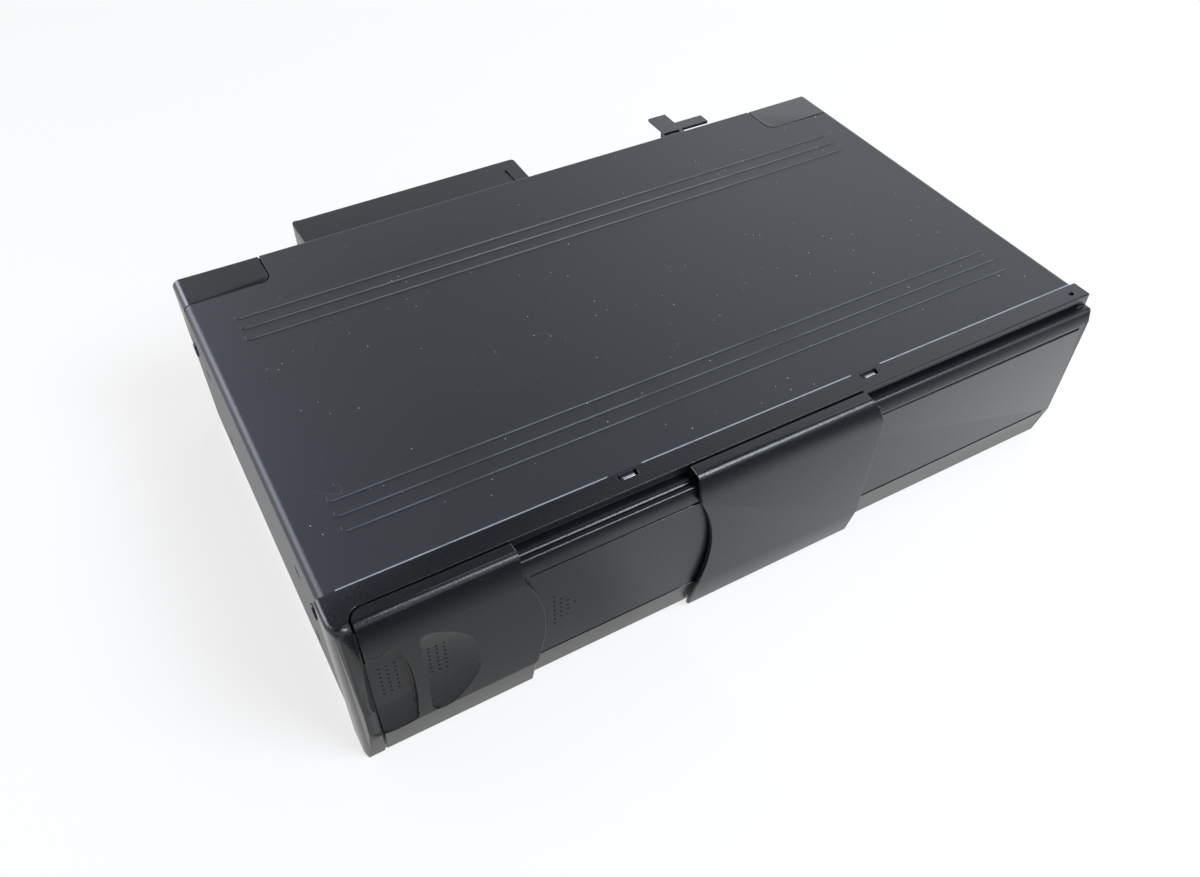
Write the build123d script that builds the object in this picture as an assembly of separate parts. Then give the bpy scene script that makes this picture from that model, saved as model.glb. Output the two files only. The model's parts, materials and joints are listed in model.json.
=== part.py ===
"""Car CD changer: a six-disc magazine changer with a two-stage sliding front door.

Millimetres, +Z up, the front faces -Y. The model is drawn with x = 0 on the centre line,
y = 0 at the front edge of the metal cover and z = 0 at the underside, and is moved at the
end so that the origin is the middle of the bounding box's base.
"""
import math
import os

from build123d import *

# ---------------------------------------------------------------- casing
CASE_WIDTH = 255.0
CASE_HEIGHT = 62.0
CASE_DEPTH = 142.5
SHEET = 0.8
FOLD_RADIUS = 2.5
WALL = 2.2                   # plastic mouldings
FIT = 0.3                    # clearance between parts that are assembled
SLIDE_GAP = 0.5              # clearance between faces that slide past each other

BEAD_WIDTH = 3.0
BEAD_HEIGHT = 0.4
BEAD_INSET = 12.8            # bead ends, from the side of the cover
FRONT_BEADS_Y = 17.7
REAR_BEADS_Y = 103.1
BEAD_PITCH = 5.7
BEADS_IN_GROUP = 3

PAD_LENGTH = 28.5            # rear corner pads
PAD_DEPTH = 14.8
PAD_HEIGHT = 14.0
PAD_CORNER = 4.0

BRACKET_SPACING_Y = 90.0     # side mounting holes
BRACKET_SPACING_Z = 30.0
BRACKET_HOLE = 2.1
SCREW_INSET = 12.0           # case screws from the ends of the casing

# ---------------------------------------------------------------- front
LIP_REACH = 6.5              # plastic strip in front of the metal cover
LIP_THICKNESS = 3.0
CHANNEL_HEIGHT = 1.6         # guide channel under the strip
LIP_GAP = 0.7                # strip to door
RIDGE_Y = -14.2              # furthest forward line of the door
RIDGE_DROP = 8.9             # ridge below the top
CREASE_Z = 13.0              # lower crease of the face
CREASE_SET_BACK = 0.9
FOOT_SET_BACK = 3.6
FOOT_CLEARANCE = 0.8         # door above the ground
FACET_SLOPE = 0.27           # set back per mm of height above the ridge
TOP_ROUND = 2.2
LEVEL_STEP = 2.1             # grip to mid panel to fixed face
GUIDE_DROP = 10.5            # upper guide slot below the top
GUIDE_LOW_Z = 13.2
GUIDE_SLOT = 0.9
BLADE = 0.5
BEZEL_OVERHANG = 0.8         # bezel wider than the cover on each side

GRIP_LEFT = 5.3              # from the left side of the cover
GRIP_EDGE = 48.8
GRIP_CORNER = 3.5
RECESS_TOP = 12.2            # below the top
RECESS_BOTTOM = 49.8
RECESS_DEPTH = 2.4
MOON_LEFT = 19.4
MOON_RIGHT = 35.2
BOWL_RADIUS = 6.0
EDGE_BULGE = 5.6
MID_PANEL_END = 112.0
COVER_EDGE = 102.4           # centre cover's left edge
COVER_RIGHT = 166.2
COVER_THICKNESS = 1.5
DOORWAY_LEFT = 6.0
DOORWAY_WIDTH = 132.0
DOORWAY_LOW_Z = 6.6
DOORWAY_DROP = 14.0          # doorway's upper edge below the top
END_PIECE_RADIUS = 7.0
COVER_TRAVEL = 86.0

# ---------------------------------------------------------------- magazine
DISC = 120.0
TRAYS = 6
TRAY_PITCH = 5.6
TRAY_THICKNESS = 2.2
TRAY_LENGTH = 124.5
TRAY_WIDTH = 123.2
TRAY_MARGIN = 2.8            # disc recess to the tray's inner end
MAGAZINE_WALL = 1.6
MAGAZINE_LEFT = 8.0          # from the left side of the cover
MAGAZINE_FRONT = -1.5
MAGAZINE_LENGTH = 128.0
MAGAZINE_BASE_Z = 9.0

# ---------------------------------------------------------------- mechanism
BASE_Z = 3.6                 # carrier plate
BASE_SHEET = 1.0
FRAME_SWAY = 3.5             # carrier to magazine and to the case's side
STAGE_INSET = 6.0            # carrier's end to the stage's end
STAGE_DROP = 14.5            # underside of the stage plate at rest, below the top
STAGE_SHEET = 1.0
STAGE_TRAVEL = 37.9
CAM_SLOPE = 1.6              # rise of the stage per mm of slider travel
CAM_PIN = 1.2                # radius
CAM_PIN_INSET = 32.0         # cam pins from the carrier's ends
CAM_SHEET = 0.8
GEAR_MODULE = 0.6
SLED_ANGLE = 40.0            # direction of the pickup's travel
SLED_INNER = 23.0
SLED_TRAVEL = 35.0
SLED_HALF = 5.5              # half of the sled's length
ROD_CLIP = 1.8

# ---------------------------------------------------------------- rear
MODULE_LEFT = 45.0           # from the left side of the cover
MODULE_RIGHT = 131.0
MODULE_REACH = 17.5
MODULE_BASE_Z = 18.0
MODULE_DROP = 2.5            # lid below the top
CLIP_LEFT = 192.9
CLIP_FOOT = 20.3
CLIP_STEM = 7.9
CLIP_REACH = 20.7
CLIP_DROP = 4.0              # upper flange below the top
CLIP_THICKNESS = 1.3

FRONT_Y = RIDGE_Y
REAR_Y = CASE_DEPTH + CLIP_REACH
MIDDLE_Y = (FRONT_Y + REAR_Y) / 2
HALF = CASE_WIDTH / 2
DOORWAY_HIGH_Z = CASE_HEIGHT - DOORWAY_DROP
MODULE_TOP_Z = CASE_HEIGHT - MODULE_DROP
CLIP_TOP_Z = CASE_HEIGHT - CLIP_DROP
STAGE_Z = CASE_HEIGHT - STAGE_DROP
FRAME_LEFT = MAGAZINE_LEFT + MAGAZINE_LENGTH - HALF + FRAME_SWAY
FRAME_RIGHT = HALF - SHEET * 2 - FRAME_SWAY + 1.4
STAGE_LEFT = FRAME_LEFT + STAGE_INSET
STAGE_RIGHT = FRAME_RIGHT - STAGE_INSET + 0.2
SPINDLE_X = HALF - DISC / 2 - 6.0
CAM_PINS_X = (FRAME_LEFT + CAM_PIN_INSET, FRAME_RIGHT - CAM_PIN_INSET + 0.2)

os.makedirs("parts", exist_ok=True)


# ---------------------------------------------------------------- helpers
def from_left(distance):
    """x of a place measured from the left side of the cover."""
    return distance - HALF


def block(x, y, z):
    """A box between pairs of coordinates."""
    size = [high - low for low, high in (x, y, z)]
    centre = [(low + high) / 2 for low, high in (x, y, z)]
    return Pos(*centre) * Box(*size)


def column(x, y, radius, low, high):
    """An upright cylinder."""
    return Pos(x, y, (low + high) / 2) * Cylinder(radius, high - low)


def bar_x(y, z, radius, low, high):
    return Pos((low + high) / 2, y, z) * Rot(0, 90, 0) * Cylinder(radius, high - low)


def bar_y(x, z, radius, low, high):
    return Pos(x, (low + high) / 2, z) * Rot(90, 0, 0) * Cylinder(radius, high - low)


def section_along_x(points, low, high):
    """A (y, z) outline carried from x = low to x = high."""
    face = Plane.YZ.offset(low) * Polygon(*points, align=None)
    return extrude(face, high - low, dir=(1, 0, 0))


def section_along_y(points, low, high):
    """An (x, z) outline carried from y = low to y = high."""
    face = Plane.XZ.offset(-low) * Polygon(*points, align=None)
    return extrude(face, high - low, dir=(0, 1, 0))


def slot_through_y(start, end, radius, low, high):
    """An obround slot between two (x, z) points, cut along y."""
    (x0, z0), (x1, z1) = start, end
    length = math.hypot(x1 - x0, z1 - z0)
    angle = math.degrees(math.atan2(z1 - z0, x1 - x0))
    outline = Pos((x0 + x1) / 2, (z0 + z1) / 2) * Rot(0, 0, angle) * SlotCenterToCenter(length, 2 * radius)
    return extrude(Plane.XZ.offset(-low) * outline, high - low, dir=(0, 1, 0))


def spur_gear(teeth, width, bore, clearance=0.08):
    """A spur gear about z, standing on z = 0, with a tooth on +x."""
    pitch_radius = GEAR_MODULE * teeth / 2
    tip = pitch_radius + GEAR_MODULE - clearance
    root = pitch_radius - 1.25 * GEAR_MODULE
    step = 2 * math.pi / teeth
    outline = []
    for tooth in range(teeth):
        for radius, turn in ((root, -0.32), (tip, -0.1), (tip, 0.1), (root, 0.32)):
            angle = (tooth + turn) * step
            outline.append((radius * math.cos(angle), radius * math.sin(angle)))
    gear = extrude(Polygon(*outline, align=None), width, dir=(0, 0, 1))
    return gear - column(0, 0, bore, -1, width + 1)


def rack_x(start, teeth, y_pitch, depth, low, high):
    """A rack along x whose teeth face +y, from z = low to z = high, with a gap at start."""
    pitch = math.pi * GEAR_MODULE
    root = y_pitch - 1.25 * GEAR_MODULE
    tip = y_pitch + GEAR_MODULE - 0.08
    outline = [(start, y_pitch - depth), (start, root)]
    for tooth in range(teeth):
        x = start + pitch * (tooth + 0.5)
        outline += [(x - 0.33 * pitch, root), (x - 0.13 * pitch, tip)]
        outline += [(x + 0.13 * pitch, tip), (x + 0.33 * pitch, root)]
    end = start + pitch * teeth
    outline += [(end, root), (end, y_pitch - depth)]
    return Pos(0, 0, low) * extrude(Polygon(*outline, align=None), high - low, dir=(0, 0, 1))


def save(node, shape):
    """Write a sub-part in the part's own frame."""
    solids = Compound(shape.solids()) if len(shape.solids()) > 1 else shape.solids()[0]
    export_step(Pos(0, -MIDDLE_Y, 0) * solids, f"parts/{node}.step")


# ---------------------------------------------------------------- front outline
def face_point(level, z):
    """y of the front face of a level (2 grip, 1 mid panel, 0 fixed face) at height z."""
    set_back = (2 - level) * LEVEL_STEP
    ridge_z = CASE_HEIGHT - RIDGE_DROP
    if z >= ridge_z:
        return RIDGE_Y + set_back + FACET_SLOPE * (z - ridge_z)
    if z >= CREASE_Z:
        return RIDGE_Y + set_back + CREASE_SET_BACK * (ridge_z - z) / (ridge_z - CREASE_Z)
    below = (CREASE_Z - z) / (CREASE_Z - FOOT_CLEARANCE)
    return RIDGE_Y + set_back + CREASE_SET_BACK + (FOOT_SET_BACK - CREASE_SET_BACK) * below


def face_line(level, top, bottom, behind=0.0):
    """Points of a face from its top to its bottom, set back by a wall."""
    heights = (top, CASE_HEIGHT - RIDGE_DROP, CREASE_Z, bottom)
    return [(face_point(level, z) + behind, z) for z in heights]


def meeting_edge(at_x, far_x):
    """The region from the bulging edge at at_x (its top end) to a straight side at far_x."""
    ridge = CASE_HEIGHT - RIDGE_DROP
    top, bottom = CASE_HEIGHT + 5, -5
    middle_z = (ridge + CREASE_Z) / 2
    lines = [
        Line((far_x, top), (at_x, top)),
        Line((at_x, top), (at_x, ridge)),
        ThreePointArc((at_x, ridge), (at_x + EDGE_BULGE, middle_z), (at_x + 2.2, CREASE_Z)),
        Line((at_x + 2.2, CREASE_Z), (at_x + 1.6, bottom)),
        Line((at_x + 1.6, bottom), (far_x, bottom)),
        Line((far_x, bottom), (far_x, top)),
    ]
    depth = 30
    return extrude(Plane.XZ.offset(depth) * make_face(Wire(lines)), depth, dir=(0, 1, 0))


CHANNEL_TOP = CASE_HEIGHT - LIP_THICKNESS + 0.2
CHANNEL_BOTTOM = CHANNEL_TOP - CHANNEL_HEIGHT
SHELF_Z = CHANNEL_BOTTOM
TONGUE = (CHANNEL_BOTTOM + 0.4, CHANNEL_TOP - 0.4)
GUIDES_Z = (CASE_HEIGHT - GUIDE_DROP, GUIDE_LOW_Z)
DOOR_BACK = LEVEL_STEP - SLIDE_GAP       # the door's back behind the mid panel's face
DOOR_TOP_Y = -(LIP_REACH + LIP_GAP)
DOOR_TRAVEL = COVER_EDGE - GRIP_EDGE


# ---------------------------------------------------------------- casing
def top_cover():
    """Folded sheet cover with beads, corner cut-outs and two snap tabs."""
    outer = block((-HALF, HALF), (0, CASE_DEPTH), (2.0, CASE_HEIGHT))
    long_top = [e for e in outer.edges().filter_by(Axis.Y) if e.center().Z > CASE_HEIGHT - 1]
    outer = fillet(long_top, FOLD_RADIUS)
    inner = block((-HALF + SHEET, HALF - SHEET), (-1, CASE_DEPTH + 1), (0, CASE_HEIGHT - SHEET))
    long_top = [e for e in inner.edges().filter_by(Axis.Y) if e.center().Z > 1]
    cover = outer - fillet(long_top, FOLD_RADIUS - SHEET)
    for first in (FRONT_BEADS_Y, REAR_BEADS_Y):
        for number in range(BEADS_IN_GROUP):
            y = first + number * BEAD_PITCH
            length = CASE_WIDTH - 2 * BEAD_INSET - BEAD_WIDTH
            bead = extrude(SlotCenterToCenter(length, BEAD_WIDTH), BEAD_HEIGHT, taper=35)
            hollow = extrude(SlotCenterToCenter(length, BEAD_WIDTH - 1), BEAD_HEIGHT, taper=35)
            cover += Pos(0, y, CASE_HEIGHT) * bead
            cover -= Pos(0, y, CASE_HEIGHT - SHEET) * hollow
    for side in (-1, 1):
        cover -= corner_pad(side, FIT)
        for y in bracket_rows():
            for z in bracket_heights():
                hole = bar_x(y, z, BRACKET_HOLE, HALF - 2, HALF + 2)
                cover -= hole if side > 0 else hole.mirror(Plane.YZ)
    for low, high in SNAP_WINDOWS:
        tab = block((low + 0.6, high - 0.6), (-2.2, 3.5), (CASE_HEIGHT - 2 * SHEET, CASE_HEIGHT - SHEET))
        cover += tab
    return cover


def bracket_rows():
    middle = CASE_DEPTH / 2
    return (middle - BRACKET_SPACING_Y / 2, middle + BRACKET_SPACING_Y / 2)


def bracket_heights():
    middle = CASE_HEIGHT / 2 - 4
    return (middle - BRACKET_SPACING_Z / 2, middle + BRACKET_SPACING_Z / 2)


def corner_pad(side, gap=0.0):
    """A rear corner pad, or with a gap, the space that it takes in the cover."""
    reach = HALF + (0 if gap == 0 else 1)
    low_x = HALF - PAD_LENGTH - gap
    front = CASE_DEPTH - PAD_DEPTH - gap
    back = CASE_DEPTH + (0 if gap == 0 else 1)
    low_z = CASE_HEIGHT - PAD_HEIGHT - gap
    pad = block((low_x, reach), (front, back), (low_z, CASE_HEIGHT + (0 if gap == 0 else 1)))
    inner_edge = pad.edges().filter_by(Axis.Z).sort_by(lambda e: e.center().X + e.center().Y)[0]
    pad = fillet(inner_edge, PAD_CORNER)
    if gap == 0:
        top = [e for e in pad.edges().filter_by(Axis.Y)
               if e.center().X > HALF - 1 and e.center().Z > CASE_HEIGHT - 1]
        pad = fillet(top, FOLD_RADIUS)
    return pad if side > 0 else pad.mirror(Plane.YZ)


SNAP_WINDOWS = ((from_left(83.4), from_left(89.2)), (from_left(166.0), from_left(172.0)))


def bottom_case():
    """Sheet tray inside the cover: floor, two sides with bracket bosses, and a rear flange."""
    side_x = HALF - SHEET
    back = CASE_DEPTH - 3.0
    case = block((-side_x, side_x), (0, back), (0, SHEET))
    for side in (-1, 1):
        wall_x = sorted((side * side_x, side * (side_x - SHEET)))
        case += block(wall_x, (1.0, back), (0, CASE_HEIGHT - PAD_HEIGHT - 1))
        case += block(sorted((side * HALF, side * side_x)), (0, back), (0, 1.8))
        for y in bracket_rows():
            for z in bracket_heights():
                boss = bar_x(y, z, BRACKET_HOLE + 1.5, side_x - 1.9, side_x - SHEET)
                hole = bar_x(y, z, BRACKET_HOLE, side_x - 3, side_x + 1)
                if side < 0:
                    boss, hole = boss.mirror(Plane.YZ), hole.mirror(Plane.YZ)
                case = case + boss - hole
    case += block((-side_x, side_x), (back - SHEET, back), (0, 8.0))
    for x, y in damper_places():
        case += column(x, y, 1.5, SHEET, BASE_Z - 1.0)
    return case


def rear_panel():
    """Moulded rear wall with the corner pads, ribs and the openings behind the module."""
    front, back = CASE_DEPTH - 3.0, CASE_DEPTH
    inside = HALF - SHEET - FIT
    wall = block((-inside, inside), (front, back), (SHEET, CASE_HEIGHT - SHEET))
    wall -= block((-inside + 6, inside - 6), (front - 1, front + 1.0), (6, CASE_HEIGHT - 6))
    left, right = from_left(MODULE_LEFT), from_left(MODULE_RIGHT)
    for x in (-inside + 40, left + 20, right + 10, inside - 30):
        wall += block((x - 0.8, x + 0.8), (front, front + 1.0), (6, CASE_HEIGHT - 6))
    wall -= block((left + 12, right - 12), (front - 1, back + 1), (MODULE_BASE_Z + 12, MODULE_TOP_Z - 12))
    for side in (-1, 1):
        pad = corner_pad(side)
        hollow = block((HALF - PAD_LENGTH + 1.8, HALF - 1.8),
                       (CASE_DEPTH - PAD_DEPTH + 1.8, front),
                       (CASE_HEIGHT - PAD_HEIGHT - 1, CASE_HEIGHT - 1.8))
        wall += pad - (hollow if side > 0 else hollow.mirror(Plane.YZ))
    return wall


def case_screws():
    """Pan-head screws through the cover's sides and the rear wall."""
    screws = []
    radius, head = 2.4, 0.7
    for side in (-1, 1):
        for y in (SCREW_INSET, CASE_DEPTH - SCREW_INSET):
            screw = bar_x(y, CASE_HEIGHT - 20.0, radius, HALF, HALF + head)
            screws.append(screw if side > 0 else screw.mirror(Plane.YZ))
    for x in (SCREW_INSET - HALF, HALF - SCREW_INSET):
        screws.append(bar_y(x, 10.0, radius, CASE_DEPTH, CASE_DEPTH + head))
    return Compound([s.solids()[0] for s in screws])


# ---------------------------------------------------------------- front
def front_bezel():
    """Front frame: lip with the guide channel, doorway, fixed face and left end piece."""
    top_block = SHELF_Z - 2.4
    inner = face_line(0, top_block, 2.8, WALL)
    shelf_front = face_point(0, SHELF_Z) + 0.6
    section = [(0, CASE_HEIGHT), (-LIP_REACH, CASE_HEIGHT), (-LIP_REACH, CHANNEL_TOP),
               (-LIP_REACH + 3.0, CHANNEL_TOP), (-LIP_REACH + 3.0, CHANNEL_BOTTOM),
               (shelf_front, SHELF_Z), (face_point(0, SHELF_Z - 0.7), SHELF_Z - 0.7)]
    section += face_line(0, SHELF_Z - 0.7, 0)[1:]
    section += [(0, 0), (0, SHEET), (4, SHEET), (4, 2.8)]
    section += list(reversed(inner))
    section += [(-1.6, top_block), (-1.6, CASE_HEIGHT - 3.8), (4, CASE_HEIGHT - 3.8),
                (4, CASE_HEIGHT - SHEET), (0, CASE_HEIGHT - SHEET)]
    right = HALF + BEZEL_OVERHANG
    left = from_left(GRIP_LEFT - 0.7)
    bezel = section_along_x(section, left, right)

    # right end: closed by a wall, rounded at the top, with the channel stopping short of it
    end_wall = [(-LIP_REACH, CASE_HEIGHT), (-LIP_REACH, SHELF_Z), (shelf_front, SHELF_Z)]
    end_wall += face_line(0, SHELF_Z - 0.7, 0) + [(0, 0), (0, CASE_HEIGHT)]
    bezel += section_along_x(end_wall, right - 4.0, right)
    corner_relief = FOLD_RADIUS + SHEET
    bezel -= block((HALF - corner_relief, right + 1), (0, 5), (-1, CASE_HEIGHT + 1))

    # left end piece: at the grip's level, with a rounded upright corner
    low_x = -HALF - BEZEL_OVERHANG
    end_piece = round_top(section_along_x(grip_section(0.0, 0.0) + [(0, 0)], low_x, left))
    corner = (low_x + END_PIECE_RADIUS, RIDGE_Y + END_PIECE_RADIUS)
    plan = (block((low_x, left), (corner[1], 0), (0, CASE_HEIGHT))
            + block((corner[0], left + 10), (RIDGE_Y, 0), (0, CASE_HEIGHT))
            + column(corner[0], corner[1], END_PIECE_RADIUS, 0, CASE_HEIGHT))
    end_piece = end_piece & plan
    hollow = block((low_x + WALL, left + 1), (face_point(0, CREASE_Z) + WALL, 1), (WALL, SHELF_Z - 2.4))
    bezel += end_piece - hollow - finger_recesses()[0]
    outer = GRIP_CORNER + LIP_GAP
    filler = block((left, left + outer), (-LIP_REACH - outer, -LIP_REACH), (CHANNEL_TOP, CASE_HEIGHT))
    bezel += filler - column(left + outer, -LIP_REACH - outer, outer, 0, CASE_HEIGHT + 1)

    # doorway, snap windows, guide slots and the eject button's hole
    bezel -= block(DOORWAY_X, (RIDGE_Y, 6), (DOORWAY_LOW_Z, DOORWAY_HIGH_Z))
    for low, high in SNAP_WINDOWS:
        bezel -= block((low, high), (-2.6, -0.7), (CASE_HEIGHT - 3.5, CASE_HEIGHT + 1))
        bezel -= block((low, high), (-2.6, 4.5), (CASE_HEIGHT - 2 * SHEET - 0.2, CASE_HEIGHT - SHEET))
    slot_left, slot_right = DOORWAY_X[1] + 2.0, HALF - 3.0
    for z in GUIDES_Z:
        bezel -= block((slot_left, slot_right), (RIDGE_Y, -3.0),
                       (z - GUIDE_SLOT / 2, z + GUIDE_SLOT / 2))
    bezel -= block(BUTTON_HOLE_X, (RIDGE_Y, -3.0), BUTTON_HOLE_Z)
    bezel -= column(from_left(250.2), -LIP_REACH + 3.0, 1.0, CASE_HEIGHT - 1.0, CASE_HEIGHT + 1)
    return bezel


DOORWAY_X = (from_left(DOORWAY_LEFT), from_left(DOORWAY_LEFT + DOORWAY_WIDTH))
BUTTON_X = (DOORWAY_X[1] + 1.5, DOORWAY_X[1] + 6.5)
BUTTON_Z = (24.0, 34.0)
BUTTON_HOLE_X = (BUTTON_X[0] - FIT, BUTTON_X[1] + FIT)
BUTTON_HOLE_Z = (BUTTON_Z[0] - FIT, BUTTON_Z[1] + FIT)
BUTTON_TRAVEL = 2.5


def grip_section(bottom, back=DOOR_TOP_Y):
    """(y, z) outline of the foremost level, from its foot to the back edge of its top."""
    outline = face_line(2, CASE_HEIGHT, bottom)
    return list(reversed(outline)) + [(back, CASE_HEIGHT)]


def round_top(shape):
    """Round the long top edge of the foremost level."""
    edge_y = face_point(2, CASE_HEIGHT)
    edges = [e for e in shape.edges().filter_by(Axis.X)
             if abs(e.center().Y - edge_y) < 0.01 and abs(e.center().Z - CASE_HEIGHT) < 0.01]
    return fillet(edges, TOP_ROUND)


def door_section():
    """Outline of the grip with its tongue, the back on the mid panel's back plane."""
    back = face_line(1, SHELF_Z - 0.2, FOOT_CLEARANCE, DOOR_BACK)
    top_block = [(DOOR_TOP_Y, TONGUE[1]), (-LIP_REACH + 2.5, TONGUE[1]), (-LIP_REACH + 2.5, TONGUE[0]),
                 (back[0][0], TONGUE[0])]
    return grip_section(FOOT_CLEARANCE) + top_block + back


def front_door():
    """The grip with its two finger recesses, in one piece with the mid panel."""
    grip_left = from_left(GRIP_LEFT)
    edge = from_left(GRIP_EDGE)
    grip = round_top(section_along_x(door_section(), grip_left, edge + 10))
    grip = grip & meeting_edge(edge, grip_left - 1)
    corner = [e for e in grip.edges().filter_by(Axis.Z)
              if abs(e.center().X - grip_left) < 0.01 and abs(e.center().Y - DOOR_TOP_Y) < 0.01]
    grip = fillet(corner, GRIP_CORNER)
    panel = face_line(1, SHELF_Z - 0.2, FOOT_CLEARANCE)
    panel += list(reversed(face_line(1, SHELF_Z - 0.2, FOOT_CLEARANCE, DOOR_BACK)))
    end = from_left(MID_PANEL_END)
    mid = section_along_x(panel, edge - 2, end)
    blade_start = from_left(COVER_RIGHT) - 11.5 - DOOR_TRAVEL - 1.0
    for z in GUIDES_Z:
        mid -= block((blade_start, end + 1), (RIDGE_Y, 0), (z - GUIDE_SLOT / 2, z + GUIDE_SLOT / 2))
        groove_y = face_point(1, z)
        mid -= block((edge + 1, end + 1), (groove_y - 1, groove_y + 0.5),
                     (z - 0.3, z + 0.3))
    door = grip + mid
    for recess in finger_recesses():
        door -= recess
    return door


def finger_recesses():
    """Two scoops for the fingers: a tall one over the left gap and a half-moon beside it."""
    left = from_left(GRIP_LEFT)
    top, bottom = CASE_HEIGHT - RECESS_TOP, CASE_HEIGHT - RECESS_BOTTOM
    middle = (top + bottom) / 2
    tall = Wire([
        Line((left - 4.0, bottom + 3.4), (left - 4.0, middle - 4.0)),
        Line((left - 4.0, middle - 4.0), (left - 1.2, top - 3.0)),
        ThreePointArc((left - 1.2, top - 3.0), (left + 4.4, top), (left + 9.2, top - 2.0)),
        ThreePointArc((left + 9.2, top - 2.0), (left + 10.9, middle), (left + 9.6, bottom + 1.0)),
        ThreePointArc((left + 9.6, bottom + 1.0), (left + 4.0, bottom + 0.2), (left - 4.0, bottom + 3.4)),
    ])
    moon_left, moon_right = from_left(MOON_LEFT), from_left(MOON_RIGHT)
    moon = Wire([
        Line((moon_left, bottom + 4.0), (moon_left, top - 2.0)),
        ThreePointArc((moon_left, top - 2.0), (moon_left + 0.6, top - 0.6), (moon_left + 2.0, top)),
        ThreePointArc((moon_left + 2.0, top), (moon_right, middle), (moon_left + 5.0, bottom + 0.6)),
        ThreePointArc((moon_left + 5.0, bottom + 0.6), (moon_left + 1.6, bottom + 0.8), (moon_left, bottom + 4.0)),
    ])
    tilt = math.degrees(math.atan2(CREASE_SET_BACK, CASE_HEIGHT - RIDGE_DROP - CREASE_Z))
    reach = math.sqrt(1 - (1 - RECESS_DEPTH / BOWL_RADIUS) ** 2)
    bowl = scale(Sphere(1), by=((moon_right - moon_left) / reach, BOWL_RADIUS, (top - bottom + 2) / 2 / reach))
    bowl_y = face_point(2, middle) + RECESS_DEPTH - BOWL_RADIUS
    bowl = Pos(moon_left, bowl_y, middle) * Rot(tilt, 0, 0) * bowl
    return [recess_prism(tall) & scooped_floor(left - 5, left + 12, top, bottom),
            recess_prism(moon) & bowl]


def recess_prism(outline):
    """An (x, z) outline carried from in front of the grip to the depth of a recess."""
    face = Plane.XZ.offset(-RIDGE_Y + 1.0) * make_face(outline)
    return extrude(face, RECESS_DEPTH + CREASE_SET_BACK + 1.0, dir=(0, 1, 0))


def scooped_floor(low, high, top, bottom):
    """Space in front of a floor that rolls in at the top and runs out at the bottom."""
    ahead = RIDGE_Y - 2.0
    roll, run_out = top - 4.5, bottom + 15.0
    profile = Wire([
        Line((ahead, top + 0.5), (face_point(2, top), top + 0.5)),
        ThreePointArc((face_point(2, top), top + 0.5), (face_point(2, top) + RECESS_DEPTH * 0.72, top - 2.0),
                      (face_point(2, roll) + RECESS_DEPTH, roll)),
        Line((face_point(2, roll) + RECESS_DEPTH, roll), (face_point(2, run_out) + RECESS_DEPTH, run_out)),
        ThreePointArc((face_point(2, run_out) + RECESS_DEPTH, run_out),
                      (face_point(2, bottom + 6) + RECESS_DEPTH * 0.68, bottom + 6),
                      (face_point(2, bottom), bottom)),
        Line((face_point(2, bottom), bottom), (ahead, bottom)),
        Line((ahead, bottom), (ahead, top + 0.5)),
    ])
    return extrude(Plane.YZ.offset(low) * make_face(profile), high - low, dir=(1, 0, 0))


def centre_cover():
    """Door shell over the mid panel, with a tongue above and two guide blades."""
    inner = face_line(2, CASE_HEIGHT - 3.6, FOOT_CLEARANCE, COVER_THICKNESS)
    heel_y = DOOR_TOP_Y - COVER_THICKNESS
    section = grip_section(FOOT_CLEARANCE)
    section += [(DOOR_TOP_Y, TONGUE[1]), (-LIP_REACH + 2.5, TONGUE[1]), (-LIP_REACH + 2.5, TONGUE[0]),
                (heel_y, TONGUE[0]), (heel_y, CASE_HEIGHT - COVER_THICKNESS),
                (inner[0][0], CASE_HEIGHT - COVER_THICKNESS)]
    section += inner
    edge, right = from_left(COVER_EDGE), from_left(COVER_RIGHT)
    shell = round_top(section_along_x(section, edge - 10, right))
    shell = shell & meeting_edge(edge, right + 1)
    slant = [(right - 3.6, CASE_HEIGHT + 1), (right + 1, CASE_HEIGHT + 1), (right + 1, CASE_HEIGHT - 7)]
    slant += [(right, CASE_HEIGHT - 7), (right - 1.2, CASE_HEIGHT - 3.2), (right - 3.6, CASE_HEIGHT)]
    shell -= section_along_y(slant, RIDGE_Y - 1, 0)
    for z in GUIDES_Z:
        front = face_point(2, z) + COVER_THICKNESS - 0.2
        shell += block((right - 11.5, right - 3.5), (front, face_point(0, z) + WALL + 0.6),
                       (z - BLADE / 2, z + BLADE / 2))
    return shell


def eject_button():
    """Key in the fixed face, beside the doorway, with a stem behind it."""
    face_y = max(face_point(0, z) for z in BUTTON_Z) + 0.3
    key = block(BUTTON_X, (face_y, face_y + 3.4), BUTTON_Z)
    flange = block((BUTTON_X[0] - 0.9, BUTTON_X[1] + 0.9), (face_y + 2.4, face_y + 3.4),
                   (BUTTON_Z[0] - 0.9, BUTTON_Z[1] + 0.9))
    front_edges = key.edges().group_by(Axis.Y)[0]
    return fillet(front_edges, 0.4) + flange


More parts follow.
